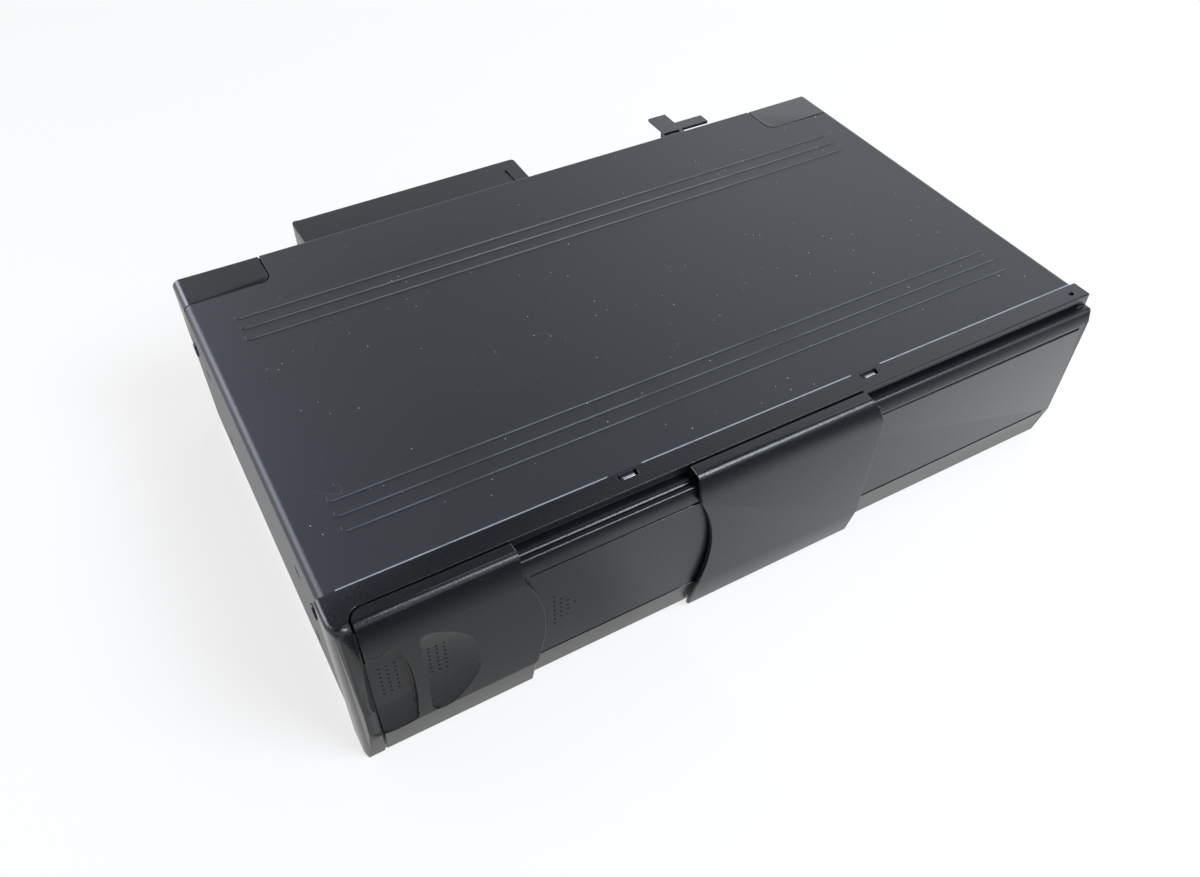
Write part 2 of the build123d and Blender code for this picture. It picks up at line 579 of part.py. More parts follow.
# ---------------------------------------------------------------- magazine
MAGAZINE_X = (from_left(MAGAZINE_LEFT), from_left(MAGAZINE_LEFT + MAGAZINE_LENGTH))
TRAY_BASE_Z = MAGAZINE_BASE_Z + MAGAZINE_WALL + 0.3
MAGAZINE_TOP_Z = TRAY_BASE_Z + TRAYS * TRAY_PITCH + MAGAZINE_WALL - 0.4
TRAY_Y = (MAGAZINE_FRONT + MAGAZINE_WALL + FIT, MAGAZINE_FRONT + MAGAZINE_WALL + FIT + TRAY_WIDTH)
MAGAZINE_Y = (MAGAZINE_FRONT, TRAY_Y[1] + FIT + MAGAZINE_WALL)
DISC_Y = (TRAY_Y[0] + TRAY_Y[1]) / 2
TRAY_X = (MAGAZINE_X[0] + MAGAZINE_WALL + 0.6, MAGAZINE_X[0] + MAGAZINE_WALL + 0.6 + TRAY_LENGTH)
DISC_X = TRAY_X[0] + DISC / 2 + TRAY_MARGIN


def magazine():
    """Cartridge open towards the mechanism, with a ledge under each tray."""
    shell = block(MAGAZINE_X, MAGAZINE_Y, (MAGAZINE_BASE_Z, MAGAZINE_TOP_Z))
    shell = fillet(shell.edges().filter_by(Axis.Z), 1.5)
    inner_y = (MAGAZINE_Y[0] + MAGAZINE_WALL, MAGAZINE_Y[1] - MAGAZINE_WALL)
    inner_x = (MAGAZINE_X[0] + MAGAZINE_WALL, MAGAZINE_X[1] + 1)
    shell -= block(inner_x, inner_y, (MAGAZINE_BASE_Z + MAGAZINE_WALL, MAGAZINE_TOP_Z - MAGAZINE_WALL))
    for number in range(1, TRAYS):
        z = TRAY_BASE_Z + number * TRAY_PITCH - 0.15
        for y in ((inner_y[0], inner_y[0] + 2.0), (inner_y[1] - 2.0, inner_y[1])):
            shell += block((inner_x[0], MAGAZINE_X[1] - 2), y, (z - 0.9, z))
    # finger cut-out in the front edge of the top and base
    notch = Pos((MAGAZINE_X[0] + MAGAZINE_X[1]) / 2, MAGAZINE_Y[0] - 6, 0) * Cylinder(11, 200)
    shell -= notch
    grooves = [block((MAGAZINE_X[0] + 8, MAGAZINE_X[0] + 40), (MAGAZINE_Y[0] - 1, MAGAZINE_Y[0] + 0.5),
                     (z, z + 1.2)) for z in (16.0, 20.0, 24.0, 28.0, 32.0)]
    for groove in grooves:
        shell -= groove
    return shell


def disc_tray(number):
    """Tray with a disc recess and the slot for the turntable and pickup."""
    z = TRAY_BASE_Z + number * TRAY_PITCH
    tray = block(TRAY_X, TRAY_Y, (z, z + TRAY_THICKNESS))
    recess = column(DISC_X, DISC_Y, DISC / 2 + 0.6, z + 0.9, z + 10)
    slot = block((DISC_X, TRAY_X[1] + 5), (DISC_Y - 22, DISC_Y + 22), (z - 1, z + 10))
    hub = column(DISC_X, DISC_Y, 22, z - 1, z + 10)
    return tray - recess - slot - hub


# ---------------------------------------------------------------- mechanism
FRAME_FRONT = TRAY_Y[0] - 1.2 - CAM_SHEET
FRAME_REAR = TRAY_Y[1] + 1.2
SPINDLE_Y = DISC_Y
PIN_TOP_Z = STAGE_Z - 2.5
PIN_LOW_Z = PIN_TOP_Z - STAGE_TRAVEL
SLIDER_TRAVEL = STAGE_TRAVEL / CAM_SLOPE
CAM_FRONT = (FRAME_FRONT - 1.6, FRAME_FRONT - 1.6 + CAM_SHEET)
CAM_REAR = (FRAME_REAR + CAM_SHEET + 0.8, FRAME_REAR + 2 * CAM_SHEET + 0.8)
CAM_X = (CAM_PINS_X[0] - 4.0, CAM_PINS_X[1] + SLIDER_TRAVEL + 4.0)
STUDS = ((CAM_PINS_X[0] + 16.0, STAGE_Z - 3.5), (CAM_PINS_X[1] - 14.0, BASE_Z + 6.4))
STUD_RADIUS = 1.4
STRIP_WIDTH = 3.6


def damper_places():
    inset = 6.0
    return [(x, y) for x in (FRAME_LEFT + inset, FRAME_RIGHT - inset) for y in (18.0, 108.0)]


def mech_frame():
    """Carrier of the mechanism: base with a window and two slotted side walls."""
    low_y, high_y = FRAME_FRONT, FRAME_REAR + CAM_SHEET
    frame = block((FRAME_LEFT, FRAME_RIGHT), (low_y, high_y), (BASE_Z, BASE_Z + BASE_SHEET))
    frame -= block((STAGE_LEFT - 1, STAGE_RIGHT - 6), (low_y + 8, high_y - 8), (0, 20))
    for x, y in damper_places():
        frame += column(x, y, 7.0, BASE_Z, BASE_Z + BASE_SHEET)
        frame -= column(x, y, 2.0, 0, 10)
    for wall in ((low_y, low_y + CAM_SHEET), (high_y - CAM_SHEET, high_y)):
        side = block((FRAME_LEFT + 4, FRAME_RIGHT), wall, (BASE_Z, STAGE_Z + 1))
        side -= block((FRAME_LEFT, CAM_PINS_X[0] - 8), (wall[0] - 1, wall[1] + 1), (26, 80))
        for x in CAM_PINS_X:
            side -= slot_through_y((x, PIN_LOW_Z), (x, PIN_TOP_Z), CAM_PIN + 0.15, wall[0] - 1, wall[1] + 1)
        side -= block((CAM_X[1] - STRIP_WIDTH - SLIDER_TRAVEL - 0.5, CAM_X[1] + 0.5),
                      (wall[0] - 1, wall[1] + 1), (BASE_Z + BASE_SHEET, BASE_Z + BASE_SHEET + 1.0))
        outside = (wall[0] - 2.4, wall[0]) if wall[0] < 10 else (wall[1], wall[1] + 2.4)
        for x, z in STUDS:
            side += bar_y(x, z, STUD_RADIUS, *outside)
        frame += side
    return frame + motor_bracket()


def dampers():
    """Four soft rings between the floor and the carrier."""
    rings = []
    for x, y in damper_places():
        ring = column(x, y, 5.0, SHEET, BASE_Z) - column(x, y, 1.55, 0, 9)
        rings.append(ring.solids()[0])
    return Compound(rings)


def cam_slider():
    """U-shaped slider: a cam plate outside each frame wall, joined by a strip, and a rack."""
    strip_z = (BASE_Z + BASE_SHEET + 0.1, BASE_Z + BASE_SHEET + 0.7)
    slider = None
    for y in (CAM_FRONT, CAM_REAR):
        plate = block(CAM_X, y, (strip_z[0], STAGE_Z))
        for x in CAM_PINS_X:
            plate -= slot_through_y((x, PIN_TOP_Z), (x + SLIDER_TRAVEL, PIN_LOW_Z), CAM_PIN + 0.2,
                                    y[0] - 1, y[1] + 1)
        for x, z in STUDS:
            plate -= slot_through_y((x, z), (x + SLIDER_TRAVEL, z), STUD_RADIUS + 0.2, y[0] - 1, y[1] + 1)
        slider = plate if slider is None else slider + plate
    slider += block((CAM_X[1] - STRIP_WIDTH, CAM_X[1]), (CAM_FRONT[0], CAM_REAR[1]), strip_z)
    rack = rack_x(RACK_START, RACK_TEETH, RACK_PITCH_Y, RACK_PITCH_Y - CAM_REAR[1], *RACK_Z)
    return slider + rack


RACK_PITCH_Y = CAM_REAR[1] + 1.9
RACK_TEETH = 17
LIFT_TEETH = 14
WHEEL_TEETH = 16
MOTOR_TEETH = 8
RACK_START = CAM_PINS_X[1] - 13.0
RACK_Z = (14.0, 17.0)
LIFT_X = RACK_START + math.pi * GEAR_MODULE
LIFT_Y = RACK_PITCH_Y + GEAR_MODULE * LIFT_TEETH / 2
LIFT_MOTOR_X = LIFT_X + GEAR_MODULE * (WHEEL_TEETH + MOTOR_TEETH) / 2
SHAFT = 1.0


def lift_gear():
    """Compound gear: a pinion on the slider's rack and a wheel for the motor."""
    pinion = Rot(0, 0, -90) * spur_gear(LIFT_TEETH, RACK_Z[1] - RACK_Z[0] + 1, SHAFT + 0.05)
    wheel = spur_gear(WHEEL_TEETH, 3.0, SHAFT + 0.05)
    gear = Pos(0, 0, RACK_Z[0]) * pinion + Pos(0, 0, RACK_Z[1] + 1) * wheel
    return Pos(LIFT_X, LIFT_Y, 0) * gear


def motor_bracket():
    """Part of the carrier behind its rear wall: gear post and motor shelf."""
    rear = FRAME_REAR + CAM_SHEET
    top = RACK_Z[1] + 5.0
    back = CASE_DEPTH - 4.0
    bracket = block((LIFT_X - 6, LIFT_MOTOR_X + 9.5), (rear - 1, back), (BASE_Z, BASE_Z + BASE_SHEET))
    bracket += column(LIFT_X, LIFT_Y, SHAFT, BASE_Z + BASE_SHEET, top - 0.4)
    bracket += column(LIFT_X, LIFT_Y, 2.2, BASE_Z + BASE_SHEET, RACK_Z[0] - 0.2)
    leg_y = (LIFT_Y - 2.8, back - 0.2)
    bracket += block((LIFT_MOTOR_X + 7.5, LIFT_MOTOR_X + 9.5), leg_y, (BASE_Z, top + 1))
    shelf = block((LIFT_MOTOR_X - 5, LIFT_MOTOR_X + 9.5), (LIFT_Y - 5.0, back - 0.2), (top, top + 1))
    return bracket + shelf - column(LIFT_MOTOR_X, LIFT_Y, 1.0, top - 1, top + 2)


def lift_motor():
    """Upright can motor with its mounting plate under it."""
    low = RACK_Z[1] + 6.0
    can = column(LIFT_MOTOR_X, LIFT_Y, 4.6, low, low + 18)
    can -= column(LIFT_MOTOR_X, LIFT_Y, 4.6, low + 17, low + 19) - column(LIFT_MOTOR_X, LIFT_Y, 2.4, 0, 99)
    shaft = column(LIFT_MOTOR_X, LIFT_Y, 0.5, RACK_Z[1] + 1, low)
    return can + shaft


def motor_pinion():
    pinion = Rot(0, 0, 180 / MOTOR_TEETH) * spur_gear(MOTOR_TEETH, 3.0, 0.55)
    return Pos(LIFT_MOTOR_X, LIFT_Y, RACK_Z[1] + 1) * pinion


# ---------------------------------------------------------------- stage
STAGE_Y = (TRAY_Y[0] + 0.4, TRAY_Y[1] - 0.4)
PLATE_Z = (STAGE_Z, STAGE_Z + STAGE_SHEET)
TURNTABLE_RADIUS = 13.5
HUB_RADIUS = 7.4
PUCK_RADIUS = 12.0


def along_sled(shape):
    """Place a shape that is drawn about the spindle, with the sled's travel on +x."""
    return Pos(SPINDLE_X, SPINDLE_Y, 0) * Rot(0, 0, SLED_ANGLE) * shape


def stage():
    """Lifting plate with flanges, cam pins, an opening for the pickup and arm brackets."""
    plate = block((STAGE_LEFT, STAGE_RIGHT), STAGE_Y, PLATE_Z)
    for y, pin in ((STAGE_Y[0], (CAM_FRONT[0] - 0.4, STAGE_Y[0] + CAM_SHEET)),
                   (STAGE_Y[1] - CAM_SHEET, (STAGE_Y[1] - CAM_SHEET, CAM_REAR[1] - 0.1))):
        plate += block((STAGE_LEFT, STAGE_RIGHT), (y, y + CAM_SHEET), (PIN_TOP_Z - CAM_PIN, STAGE_Z))
        for x in CAM_PINS_X:
            plate += bar_y(x, PIN_TOP_Z, CAM_PIN, *pin)
    opening = along_sled(block((SLED_INNER - 8, SLED_INNER + SLED_TRAVEL + 6), (-5.2, 5.2), (0, 99)))
    opening &= block((STAGE_LEFT + 3, STAGE_RIGHT - 3), (STAGE_Y[0] + 3, STAGE_Y[1] - 3), (0, 99))
    plate -= opening
    plate -= column(SPINDLE_X, SPINDLE_Y, 3.0, 0, 99)
    for y in ARM_EARS_Y:
        ear = block((ARM_HINGE_X - 3, ARM_HINGE_X + 3), y, (PLATE_Z[1], ARM_HINGE_Z + 2.0))
        plate += ear - bar_y(ARM_HINGE_X, ARM_HINGE_Z, SHAFT + 0.05, y[0] - 1, y[1] + 1)
    return plate


def spindle_motor():
    """Flat motor under the stage plate with its shaft through it."""
    can = column(SPINDLE_X, SPINDLE_Y, 12.0, STAGE_Z - 5.0, STAGE_Z)
    can += column(SPINDLE_X, SPINDLE_Y, 1.0, STAGE_Z, TURNTABLE_Z[0] + 1.6)
    return can


TURNTABLE_Z = (PLATE_Z[1] + 0.4, PLATE_Z[1] + 2.4)


def turntable():
    """Disc seat with a centring cone, on the motor's shaft."""
    table = column(SPINDLE_X, SPINDLE_Y, TURNTABLE_RADIUS, *TURNTABLE_Z)
    cone = Pos(SPINDLE_X, SPINDLE_Y, TURNTABLE_Z[1] + 0.8) * Cone(HUB_RADIUS, HUB_RADIUS - 1.2, 1.6)
    ring = column(SPINDLE_X, SPINDLE_Y, TURNTABLE_RADIUS - 1, TURNTABLE_Z[1] - 0.3, 99)
    ring -= column(SPINDLE_X, SPINDLE_Y, HUB_RADIUS + 1, 0, 99)
    table = table - ring + cone
    return table - column(SPINDLE_X, SPINDLE_Y, SHAFT + 0.03, TURNTABLE_Z[0] - 1, TURNTABLE_Z[0] + 1.8)


ROD_Y = 8.0
ROD_Z = STAGE_Z - 1.6
ROD_RADIUS = 0.8
ROD_X = (SLED_INNER - SLED_HALF - FIT - ROD_CLIP, SLED_INNER + SLED_TRAVEL + SLED_HALF + FIT + ROD_CLIP)
SLED_TEETH = 12
SLED_RACK_TEETH = 22
SLED_PITCH_Y = 14.6
SLED_RACK_Z = (STAGE_Z - 2.0, STAGE_Z - 0.3)
SLED_RACK_START = SLED_INNER + 6.0 - SLED_RACK_TEETH * math.pi * GEAR_MODULE
SLED_PINION_X = SLED_RACK_START + 20 * math.pi * GEAR_MODULE
SLED_PINION_Y = SLED_PITCH_Y + GEAR_MODULE * SLED_TEETH / 2


def guide_rods():
    """Two rods under the stage that carry the pickup, each held by two clips."""
    rods = []
    for y in (-ROD_Y, ROD_Y):
        rod = bar_x(y, ROD_Z, ROD_RADIUS, ROD_X[0], ROD_X[1])
        for x in (ROD_X[0], ROD_X[1] - ROD_CLIP):
            rod += block((x, x + ROD_CLIP), (y - 1.2, y + 1.2), (ROD_Z - 1.2, STAGE_Z))
        rods.append(along_sled(rod).solids()[0])
    return Compound(rods)


def pickup():
    """Sled on the two rods, with its lens turret and a rack."""
    x = SLED_INNER
    body = block((x - SLED_HALF, x + SLED_HALF), (-ROD_Y - 2.4, ROD_Y + 2.4), (ROD_Z - 2.2, ROD_Z + 1.4))
    body -= block((x - 4, x + 4), (-4, 4), (ROD_Z - 1, 99))
    for y in (-ROD_Y, ROD_Y):
        body -= bar_x(y, ROD_Z, ROD_RADIUS + 0.05, x - 9, x + 9)
    body += block((x - 2, x + SLED_HALF), (ROD_Y + 2.0, SLED_PITCH_Y - 1.0), SLED_RACK_Z)
    body += rack_x(SLED_RACK_START, SLED_RACK_TEETH, SLED_PITCH_Y, 1.9, *SLED_RACK_Z)
    return along_sled(body)


def sled_pinion():
    pinion = Rot(0, 0, -90) * spur_gear(SLED_TEETH, SLED_RACK_Z[1] - SLED_RACK_Z[0], 0.55)
    return along_sled(Pos(SLED_PINION_X, SLED_PINION_Y, SLED_RACK_Z[0]) * pinion)


def sled_motor():
    """Flat motor that hangs from the stage plate under the pinion."""
    can = column(SLED_PINION_X, SLED_PINION_Y, 5.0, STAGE_Z - 4.6, SLED_RACK_Z[0] - 0.2)
    can += column(SLED_PINION_X, SLED_PINION_Y, 0.5, STAGE_Z - 4, STAGE_Z)
    for x in (SLED_PINION_X - 4.8, SLED_PINION_X + 4.8):
        can += block((x - 1, x + 1), (SLED_PINION_Y + 2.0, SLED_PINION_Y + 4.4), (STAGE_Z - 4.6, STAGE_Z))
    return along_sled(can)


def pickup_lens():
    """Lens holder in the sled's pocket, with the objective on top."""
    x = SLED_INNER
    holder = block((x - 3.4, x + 3.4), (-3.4, 3.4), (ROD_Z - 1, ROD_Z + 1.8))
    lens = Pos(x, 0, ROD_Z + 1.8) * (Sphere(2.2) & Pos(0, 0, 5) * Box(20, 20, 10))
    return along_sled(holder + lens)


# ---------------------------------------------------------------- clamp
ARM_HINGE_X = STAGE_RIGHT - 6
ARM_HINGE_Z = PLATE_Z[1] + 6.4
ARM_EARS_Y = ((SPINDLE_Y - 16.0, SPINDLE_Y - 15.0), (SPINDLE_Y + 15.0, SPINDLE_Y + 16.0))
ARM_Z = (ARM_HINGE_Z - 0.5, ARM_HINGE_Z + 0.5)


def clamp_arm():
    """Sheet arm over the turntable with its hinge pin in one piece."""
    arm = block((SPINDLE_X - 9, ARM_HINGE_X + 1), (SPINDLE_Y - 12, SPINDLE_Y + 12), ARM_Z)
    arm = fillet(arm.edges().filter_by(Axis.Z).group_by(Axis.X)[0], 8)
    arm -= column(SPINDLE_X, SPINDLE_Y, 6.0, 0, 99)
    arm -= block((SPINDLE_X + 14, ARM_HINGE_X - 12), (SPINDLE_Y - 6, SPINDLE_Y + 6), (0, 99))
    return arm + bar_y(ARM_HINGE_X, ARM_HINGE_Z, SHAFT, ARM_EARS_Y[0][0], ARM_EARS_Y[1][1])


def clamp_puck():
    """Spinning clamp in the arm's hole, held by a flange above and below."""
    low = ARM_Z[0] - 1.6
    puck = column(SPINDLE_X, SPINDLE_Y, PUCK_RADIUS, low, ARM_Z[0] - 0.4)
    puck += column(SPINDLE_X, SPINDLE_Y, 5.4, ARM_Z[0] - 0.4, ARM_Z[1] + 0.4)
    puck += column(SPINDLE_X, SPINDLE_Y, 7.4, ARM_Z[1] + 0.4, ARM_Z[1] + 1.2)
    return puck - column(SPINDLE_X, SPINDLE_Y, HUB_RADIUS + 0.4, 0, low + 0.8)


# ---------------------------------------------------------------- electronics
def main_board():
    """Board under the magazine with its chips and a connector."""
    x = (MAGAZINE_X[0] + 2, MAGAZINE_X[1] - 4)
    board = block(x, (9.0, MAGAZINE_Y[1] - 12), (3.0, 4.6))
    for dx, dy, w, d in ((17.5, 21, 20, 20), (57.5, 51, 14, 14), (87.5, 21, 10, 16), (27.5, 81, 16, 8),
                         (77.5, 89, 24, 8)):
        chip_x, chip_y = x[0] + dx, 9.0 + dy
        board += block((chip_x, chip_x + w), (chip_y, chip_y + d), (4.6, 6.4))
    for px in x:
        board += column(px + (5 if px < -50 else -5), 14, 2.5, SHEET, 3.0)
        board += column(px + (5 if px < -50 else -5), MAGAZINE_Y[1] - 18, 2.5, SHEET, 3.0)
    return board


def magazine_rails():
    """Two shelves on the tray's floor that the magazine slides in on."""
    rails = None
    for y in (MAGAZINE_Y[0] + 6.1, MAGAZINE_Y[1] - 10.1):
        rail = block((MAGAZINE_X[0], MAGAZINE_X[1]), (y, y + 4.0), (MAGAZINE_BASE_Z - 2.2, MAGAZINE_BASE_Z - 0.2))
        rail += block((MAGAZINE_X[0], MAGAZINE_X[1]), (y + 1.4, y + 2.6), (SHEET, MAGAZINE_BASE_Z - 2.2))
        rails = rail if rails is None else rails + rail
    return rails


# ---------------------------------------------------------------- rear module
MODULE_X = (from_left(MODULE_LEFT), from_left(MODULE_RIGHT))
MODULE_Y = (CASE_DEPTH, CASE_DEPTH + MODULE_REACH)
MODULE_WALL = 1.6
DATA_X = MODULE_X[0] + 26.0
POWER_X = MODULE_X[0] + 58.0
SOCKET_Z = (MODULE_BASE_Z + 12.0, MODULE_BASE_Z + 24.0)
DATA_WIDTH = 24.0
POWER_WIDTH = 18.0


def interface_box():
    """Open-topped moulding of the rear module with the socket openings."""
    box = block(MODULE_X, MODULE_Y, (MODULE_BASE_Z, MODULE_TOP_Z - 1.4))
    box = fillet(box.edges().filter_by(Axis.Z).group_by(Axis.Y)[-1], 1.5)
    box -= block((MODULE_X[0] + MODULE_WALL, MODULE_X[1] - MODULE_WALL),
                 (MODULE_Y[0] + MODULE_WALL, MODULE_Y[1] - MODULE_WALL),
                 (MODULE_BASE_Z + MODULE_WALL, MODULE_TOP_Z))
    for x, width in ((DATA_X, DATA_WIDTH), (POWER_X, POWER_WIDTH)):
        box -= block((x - width / 2 - FIT, x + width / 2 + FIT), (MODULE_Y[1] - 3, MODULE_Y[1] + 1),
                     (SOCKET_Z[0] - FIT, SOCKET_Z[1] + FIT))
    return box


def interface_lid():
    """Lid of the module with a groove near its right end."""
    lid = block(MODULE_X, MODULE_Y, (MODULE_TOP_Z - 1.4, MODULE_TOP_Z))
    lid = fillet(lid.edges().filter_by(Axis.Z).group_by(Axis.Y)[-1], 1.5)
    inner = block((MODULE_X[0] + MODULE_WALL + FIT, MODULE_X[1] - MODULE_WALL - FIT),
                  (MODULE_Y[0] + MODULE_WALL + FIT, MODULE_Y[1] - MODULE_WALL - FIT),
                  (MODULE_TOP_Z - 3.0, MODULE_TOP_Z - 1.4))
    groove_x = from_left(125.0)
    groove = block((groove_x - 0.5, groove_x + 0.5), (MODULE_Y[0] + 3, MODULE_Y[0] + 12),
                   (MODULE_TOP_Z - 0.9, MODULE_TOP_Z + 1))
    return lid + inner - groove


def interface_board():
    z = SOCKET_Z[0] - 1.6
    board = block((MODULE_X[0] + 5, MODULE_X[1] - 5), (MODULE_Y[0] + 2.2, MODULE_Y[1] - 3.0), (z, z + 1.6))
    for x in (MODULE_X[0] + 9, MODULE_X[1] - 9):
        board += block((x - 2, x + 2), (MODULE_Y[0] + 4, MODULE_Y[0] + 8), (MODULE_BASE_Z + MODULE_WALL, z))
    return board


def socket(x, width, contacts):
    """Rectangular multi-way socket with short contacts at the back."""
    body = block((x - width / 2, x + width / 2), (MODULE_Y[0] + 4.0, MODULE_Y[1]), SOCKET_Z)
    body -= block((x - width / 2 + 1.4, x + width / 2 - 1.4), (MODULE_Y[0] + 6.5, MODULE_Y[1] + 1),
                  (SOCKET_Z[0] + 1.4, SOCKET_Z[1] - 1.4))
    middle = (SOCKET_Z[0] + SOCKET_Z[1]) / 2
    for number in range(contacts):
        px = x + (number - (contacts - 1) / 2) * 2.8
        body += block((px - 0.4, px + 0.4), (MODULE_Y[0] + 6.5, MODULE_Y[0] + 9.5),
                      (middle - 0.4, middle + 0.4))
    return body


def cable_clip():
    """Two flanges on a web behind the rear wall, the lower one with an upturned tip."""
    left = from_left(CLIP_LEFT)
    right = left + CLIP_FOOT
    foot_y = (CASE_DEPTH + 8.0, CASE_DEPTH + 13.2)
    reach = CASE_DEPTH + CLIP_REACH
    top_z = (CLIP_TOP_Z - CLIP_THICKNESS, CLIP_TOP_Z)
    low_z = (CLIP_TOP_Z - 16.0, CLIP_TOP_Z - 16.0 + CLIP_THICKNESS)
    clip = block((left, right), foot_y, top_z)
    clip += block((left, left + CLIP_STEM), (foot_y[0], reach), top_z)
    web_x = (left + CLIP_STEM - 1.6, left + CLIP_STEM)
    clip += block(web_x, (CASE_DEPTH, reach), (low_z[0], top_z[1]))
    clip += block((left, right), foot_y, low_z)
    clip += block((left, left + 1.4), foot_y, (low_z[0], low_z[1] + 4.0))
    clip += block((left + 2, right - 2), (CASE_DEPTH, CASE_DEPTH + 1.6), (low_z[0], top_z[1]))
    return clip


# ---------------------------------------------------------------- output
save("top_cover", top_cover())
save("bottom_case", bottom_case())
save("rear_panel", rear_panel())
save("case_screws", case_screws())
save("front_bezel", front_bezel())
save("front_door", front_door())
save("centre_cover", centre_cover())
save("eject_button", eject_button())
save("magazine", magazine())
for tray_number in range(TRAYS):
    save(f"disc_tray_{tray_number + 1}", disc_tray(tray_number))
save("magazine_rails", magazine_rails())
save("mech_frame", mech_frame())
save("dampers", dampers())
save("cam_slider", cam_slider())
save("lift_gear", lift_gear())
save("lift_motor", lift_motor())
save("motor_pinion", motor_pinion())
save("stage", stage())
save("spindle_motor", spindle_motor())
save("turntable", turntable())
save("guide_rods", guide_rods())
save("pickup", pickup())
save("pickup_lens", pickup_lens())
save("sled_pinion", sled_pinion())
save("sled_motor", sled_motor())
save("clamp_arm", clamp_arm())
save("clamp_puck", clamp_puck())
save("main_board", main_board())
save("interface_box", interface_box())
save("interface_lid", interface_lid())
save("interface_board", interface_board())
save("data_socket", socket(DATA_X, DATA_WIDTH, 6))
save("power_socket", socket(POWER_X, POWER_WIDTH, 3))
save("cable_clip", cable_clip())
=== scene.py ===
"""Looks of the car CD changer: finishes, fine detail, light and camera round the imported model."""
import json
import math

import bmesh
import bpy
from mathutils import Matrix, Vector
from mathutils.bvhtree import BVHTree


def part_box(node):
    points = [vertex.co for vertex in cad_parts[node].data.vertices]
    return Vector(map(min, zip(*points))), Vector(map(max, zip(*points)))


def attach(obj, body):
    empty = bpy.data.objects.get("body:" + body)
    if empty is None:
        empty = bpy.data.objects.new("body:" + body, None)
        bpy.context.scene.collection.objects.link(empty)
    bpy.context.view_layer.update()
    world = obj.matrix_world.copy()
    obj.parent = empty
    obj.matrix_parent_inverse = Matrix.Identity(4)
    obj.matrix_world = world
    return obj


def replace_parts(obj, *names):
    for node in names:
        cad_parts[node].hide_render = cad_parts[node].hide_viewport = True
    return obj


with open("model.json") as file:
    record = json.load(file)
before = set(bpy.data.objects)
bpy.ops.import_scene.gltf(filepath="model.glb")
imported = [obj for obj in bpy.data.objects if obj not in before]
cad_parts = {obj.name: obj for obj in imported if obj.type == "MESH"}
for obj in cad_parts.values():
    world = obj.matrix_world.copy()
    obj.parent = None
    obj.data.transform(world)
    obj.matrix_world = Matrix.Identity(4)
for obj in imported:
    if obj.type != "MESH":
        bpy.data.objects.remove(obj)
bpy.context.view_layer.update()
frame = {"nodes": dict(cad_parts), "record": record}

MM = 0.001
HALF_WIDTH = 127.5 * MM                         # the casing's sides stand at plus and minus this x
SHARP_FROM = math.radians(35)                   # faces that meet at more than this keep a sharp edge
MERGE_WITHIN = 0.002 * MM                       # corners nearer than this are one corner

# The gap at the left between the end piece and the grip: the x of its two sides.
END_PIECE_EDGE, GRIP_EDGE = -122.9 * MM, -122.2 * MM

# Where painted highlights lie along the cover's edges and bead rims: pairs of places between which a
# highlight fades in, or lies.
TOP_FACE_Z = (61.2 * MM, 61.6 * MM)
BEAD_RIM_Z = (62.08 * MM, 62.3 * MM)
FRONT_EDGE_Y = (-74.12 * MM, -74.02 * MM)
FRONT_EDGE_START_X = (-122.8 * MM, -122.2 * MM)
BESIDE_WINDOWS_X = ((-46.2 * MM, -36.2 * MM), (36.4 * MM, 46.6 * MM))      # left without the painted highlight
REAR_BEADS_Y = (-10 * MM, 20 * MM)              # behind this the beads' painted highlight is weaker
REAR_EDGE_WIDTH = (0.5 * MM, 0.3 * MM)          # measured forwards from the rear edge

CHIPS_Z = (4.75 * MM, 7.5 * MM)                 # heights between which the board's chips stand


# ---------------------------------------------------------------- shader arithmetic
class Reading:
    """A shader value that takes part in ordinary arithmetic."""

    def __init__(self, tree, socket):
        self.tree, self.socket = tree, socket

    def worked(self, operation, first, second=0.0):
        return self.tree.node("Math", {"operation": operation}, {0: first, 1: second})

    def __add__(self, other): return self.worked("ADD", self, other)
    def __radd__(self, other): return self.worked("ADD", other, self)
    def __sub__(self, other): return self.worked("SUBTRACT", self, other)
    def __rsub__(self, other): return self.worked("SUBTRACT", other, self)
    def __mul__(self, other): return self.worked("MULTIPLY", self, other)
    def __rmul__(self, other): return self.worked("MULTIPLY", other, self)
    def __abs__(self): return self.worked("ABSOLUTE", self)

    def most(self, other): return self.worked("MAXIMUM", self, other)

    def between(self, low, high):
        """0 at low and below, 1 at high and above, smooth in the middle."""
        values = {0: self, 1: low, 2: high}
        return self.tree.node("MapRange", {"interpolation_type": "SMOOTHSTEP"}, values)

    def band(self, low, high, soft):
        """1 between low and high, fading to 0 over the soft width outside them."""
        return self.between(low - soft, low) * (1 - self.between(high, high + soft))


class NodeTree:
    """A material's or the world's nodes, each added with its settings and sockets."""

    def __init__(self, owner):
        owner.use_nodes = True
        self.nodes, self.links = owner.node_tree.nodes, owner.node_tree.links

    def set(self, socket, value):
        if isinstance(value, Reading):
            self.links.new(value.socket, socket)
        else:
            socket.default_value = value

    def node(self, kind, settings=None, sockets=None, output=0):
        made = self.nodes.new("ShaderNode" + kind)
        for name, value in (settings or {}).items():
            if name == "stops":
                self.fill_ramp(made.color_ramp, value)
            else:
                setattr(made, name, value)
        for key, value in (sockets or {}).items():
            self.set(made.inputs[key], value)
        return Reading(self, made.outputs[output])

    def fill_ramp(self, ramp, stops):
        while len(ramp.elements) < len(stops):
            ramp.elements.new(0.5)
        for element, (position, colour) in zip(ramp.elements, stops):
            element.position = position
            element.color = (*colour, 1)

    def ray(self, kind):
        """1 for rays of one kind, such as Camera, and 0 for the others."""
        return self.node("LightPath", output=f"Is {kind} Ray")

    def mixed(self, factor, first, second):
        return self.node("MixShader", {}, {0: factor, 1: first, 2: second})


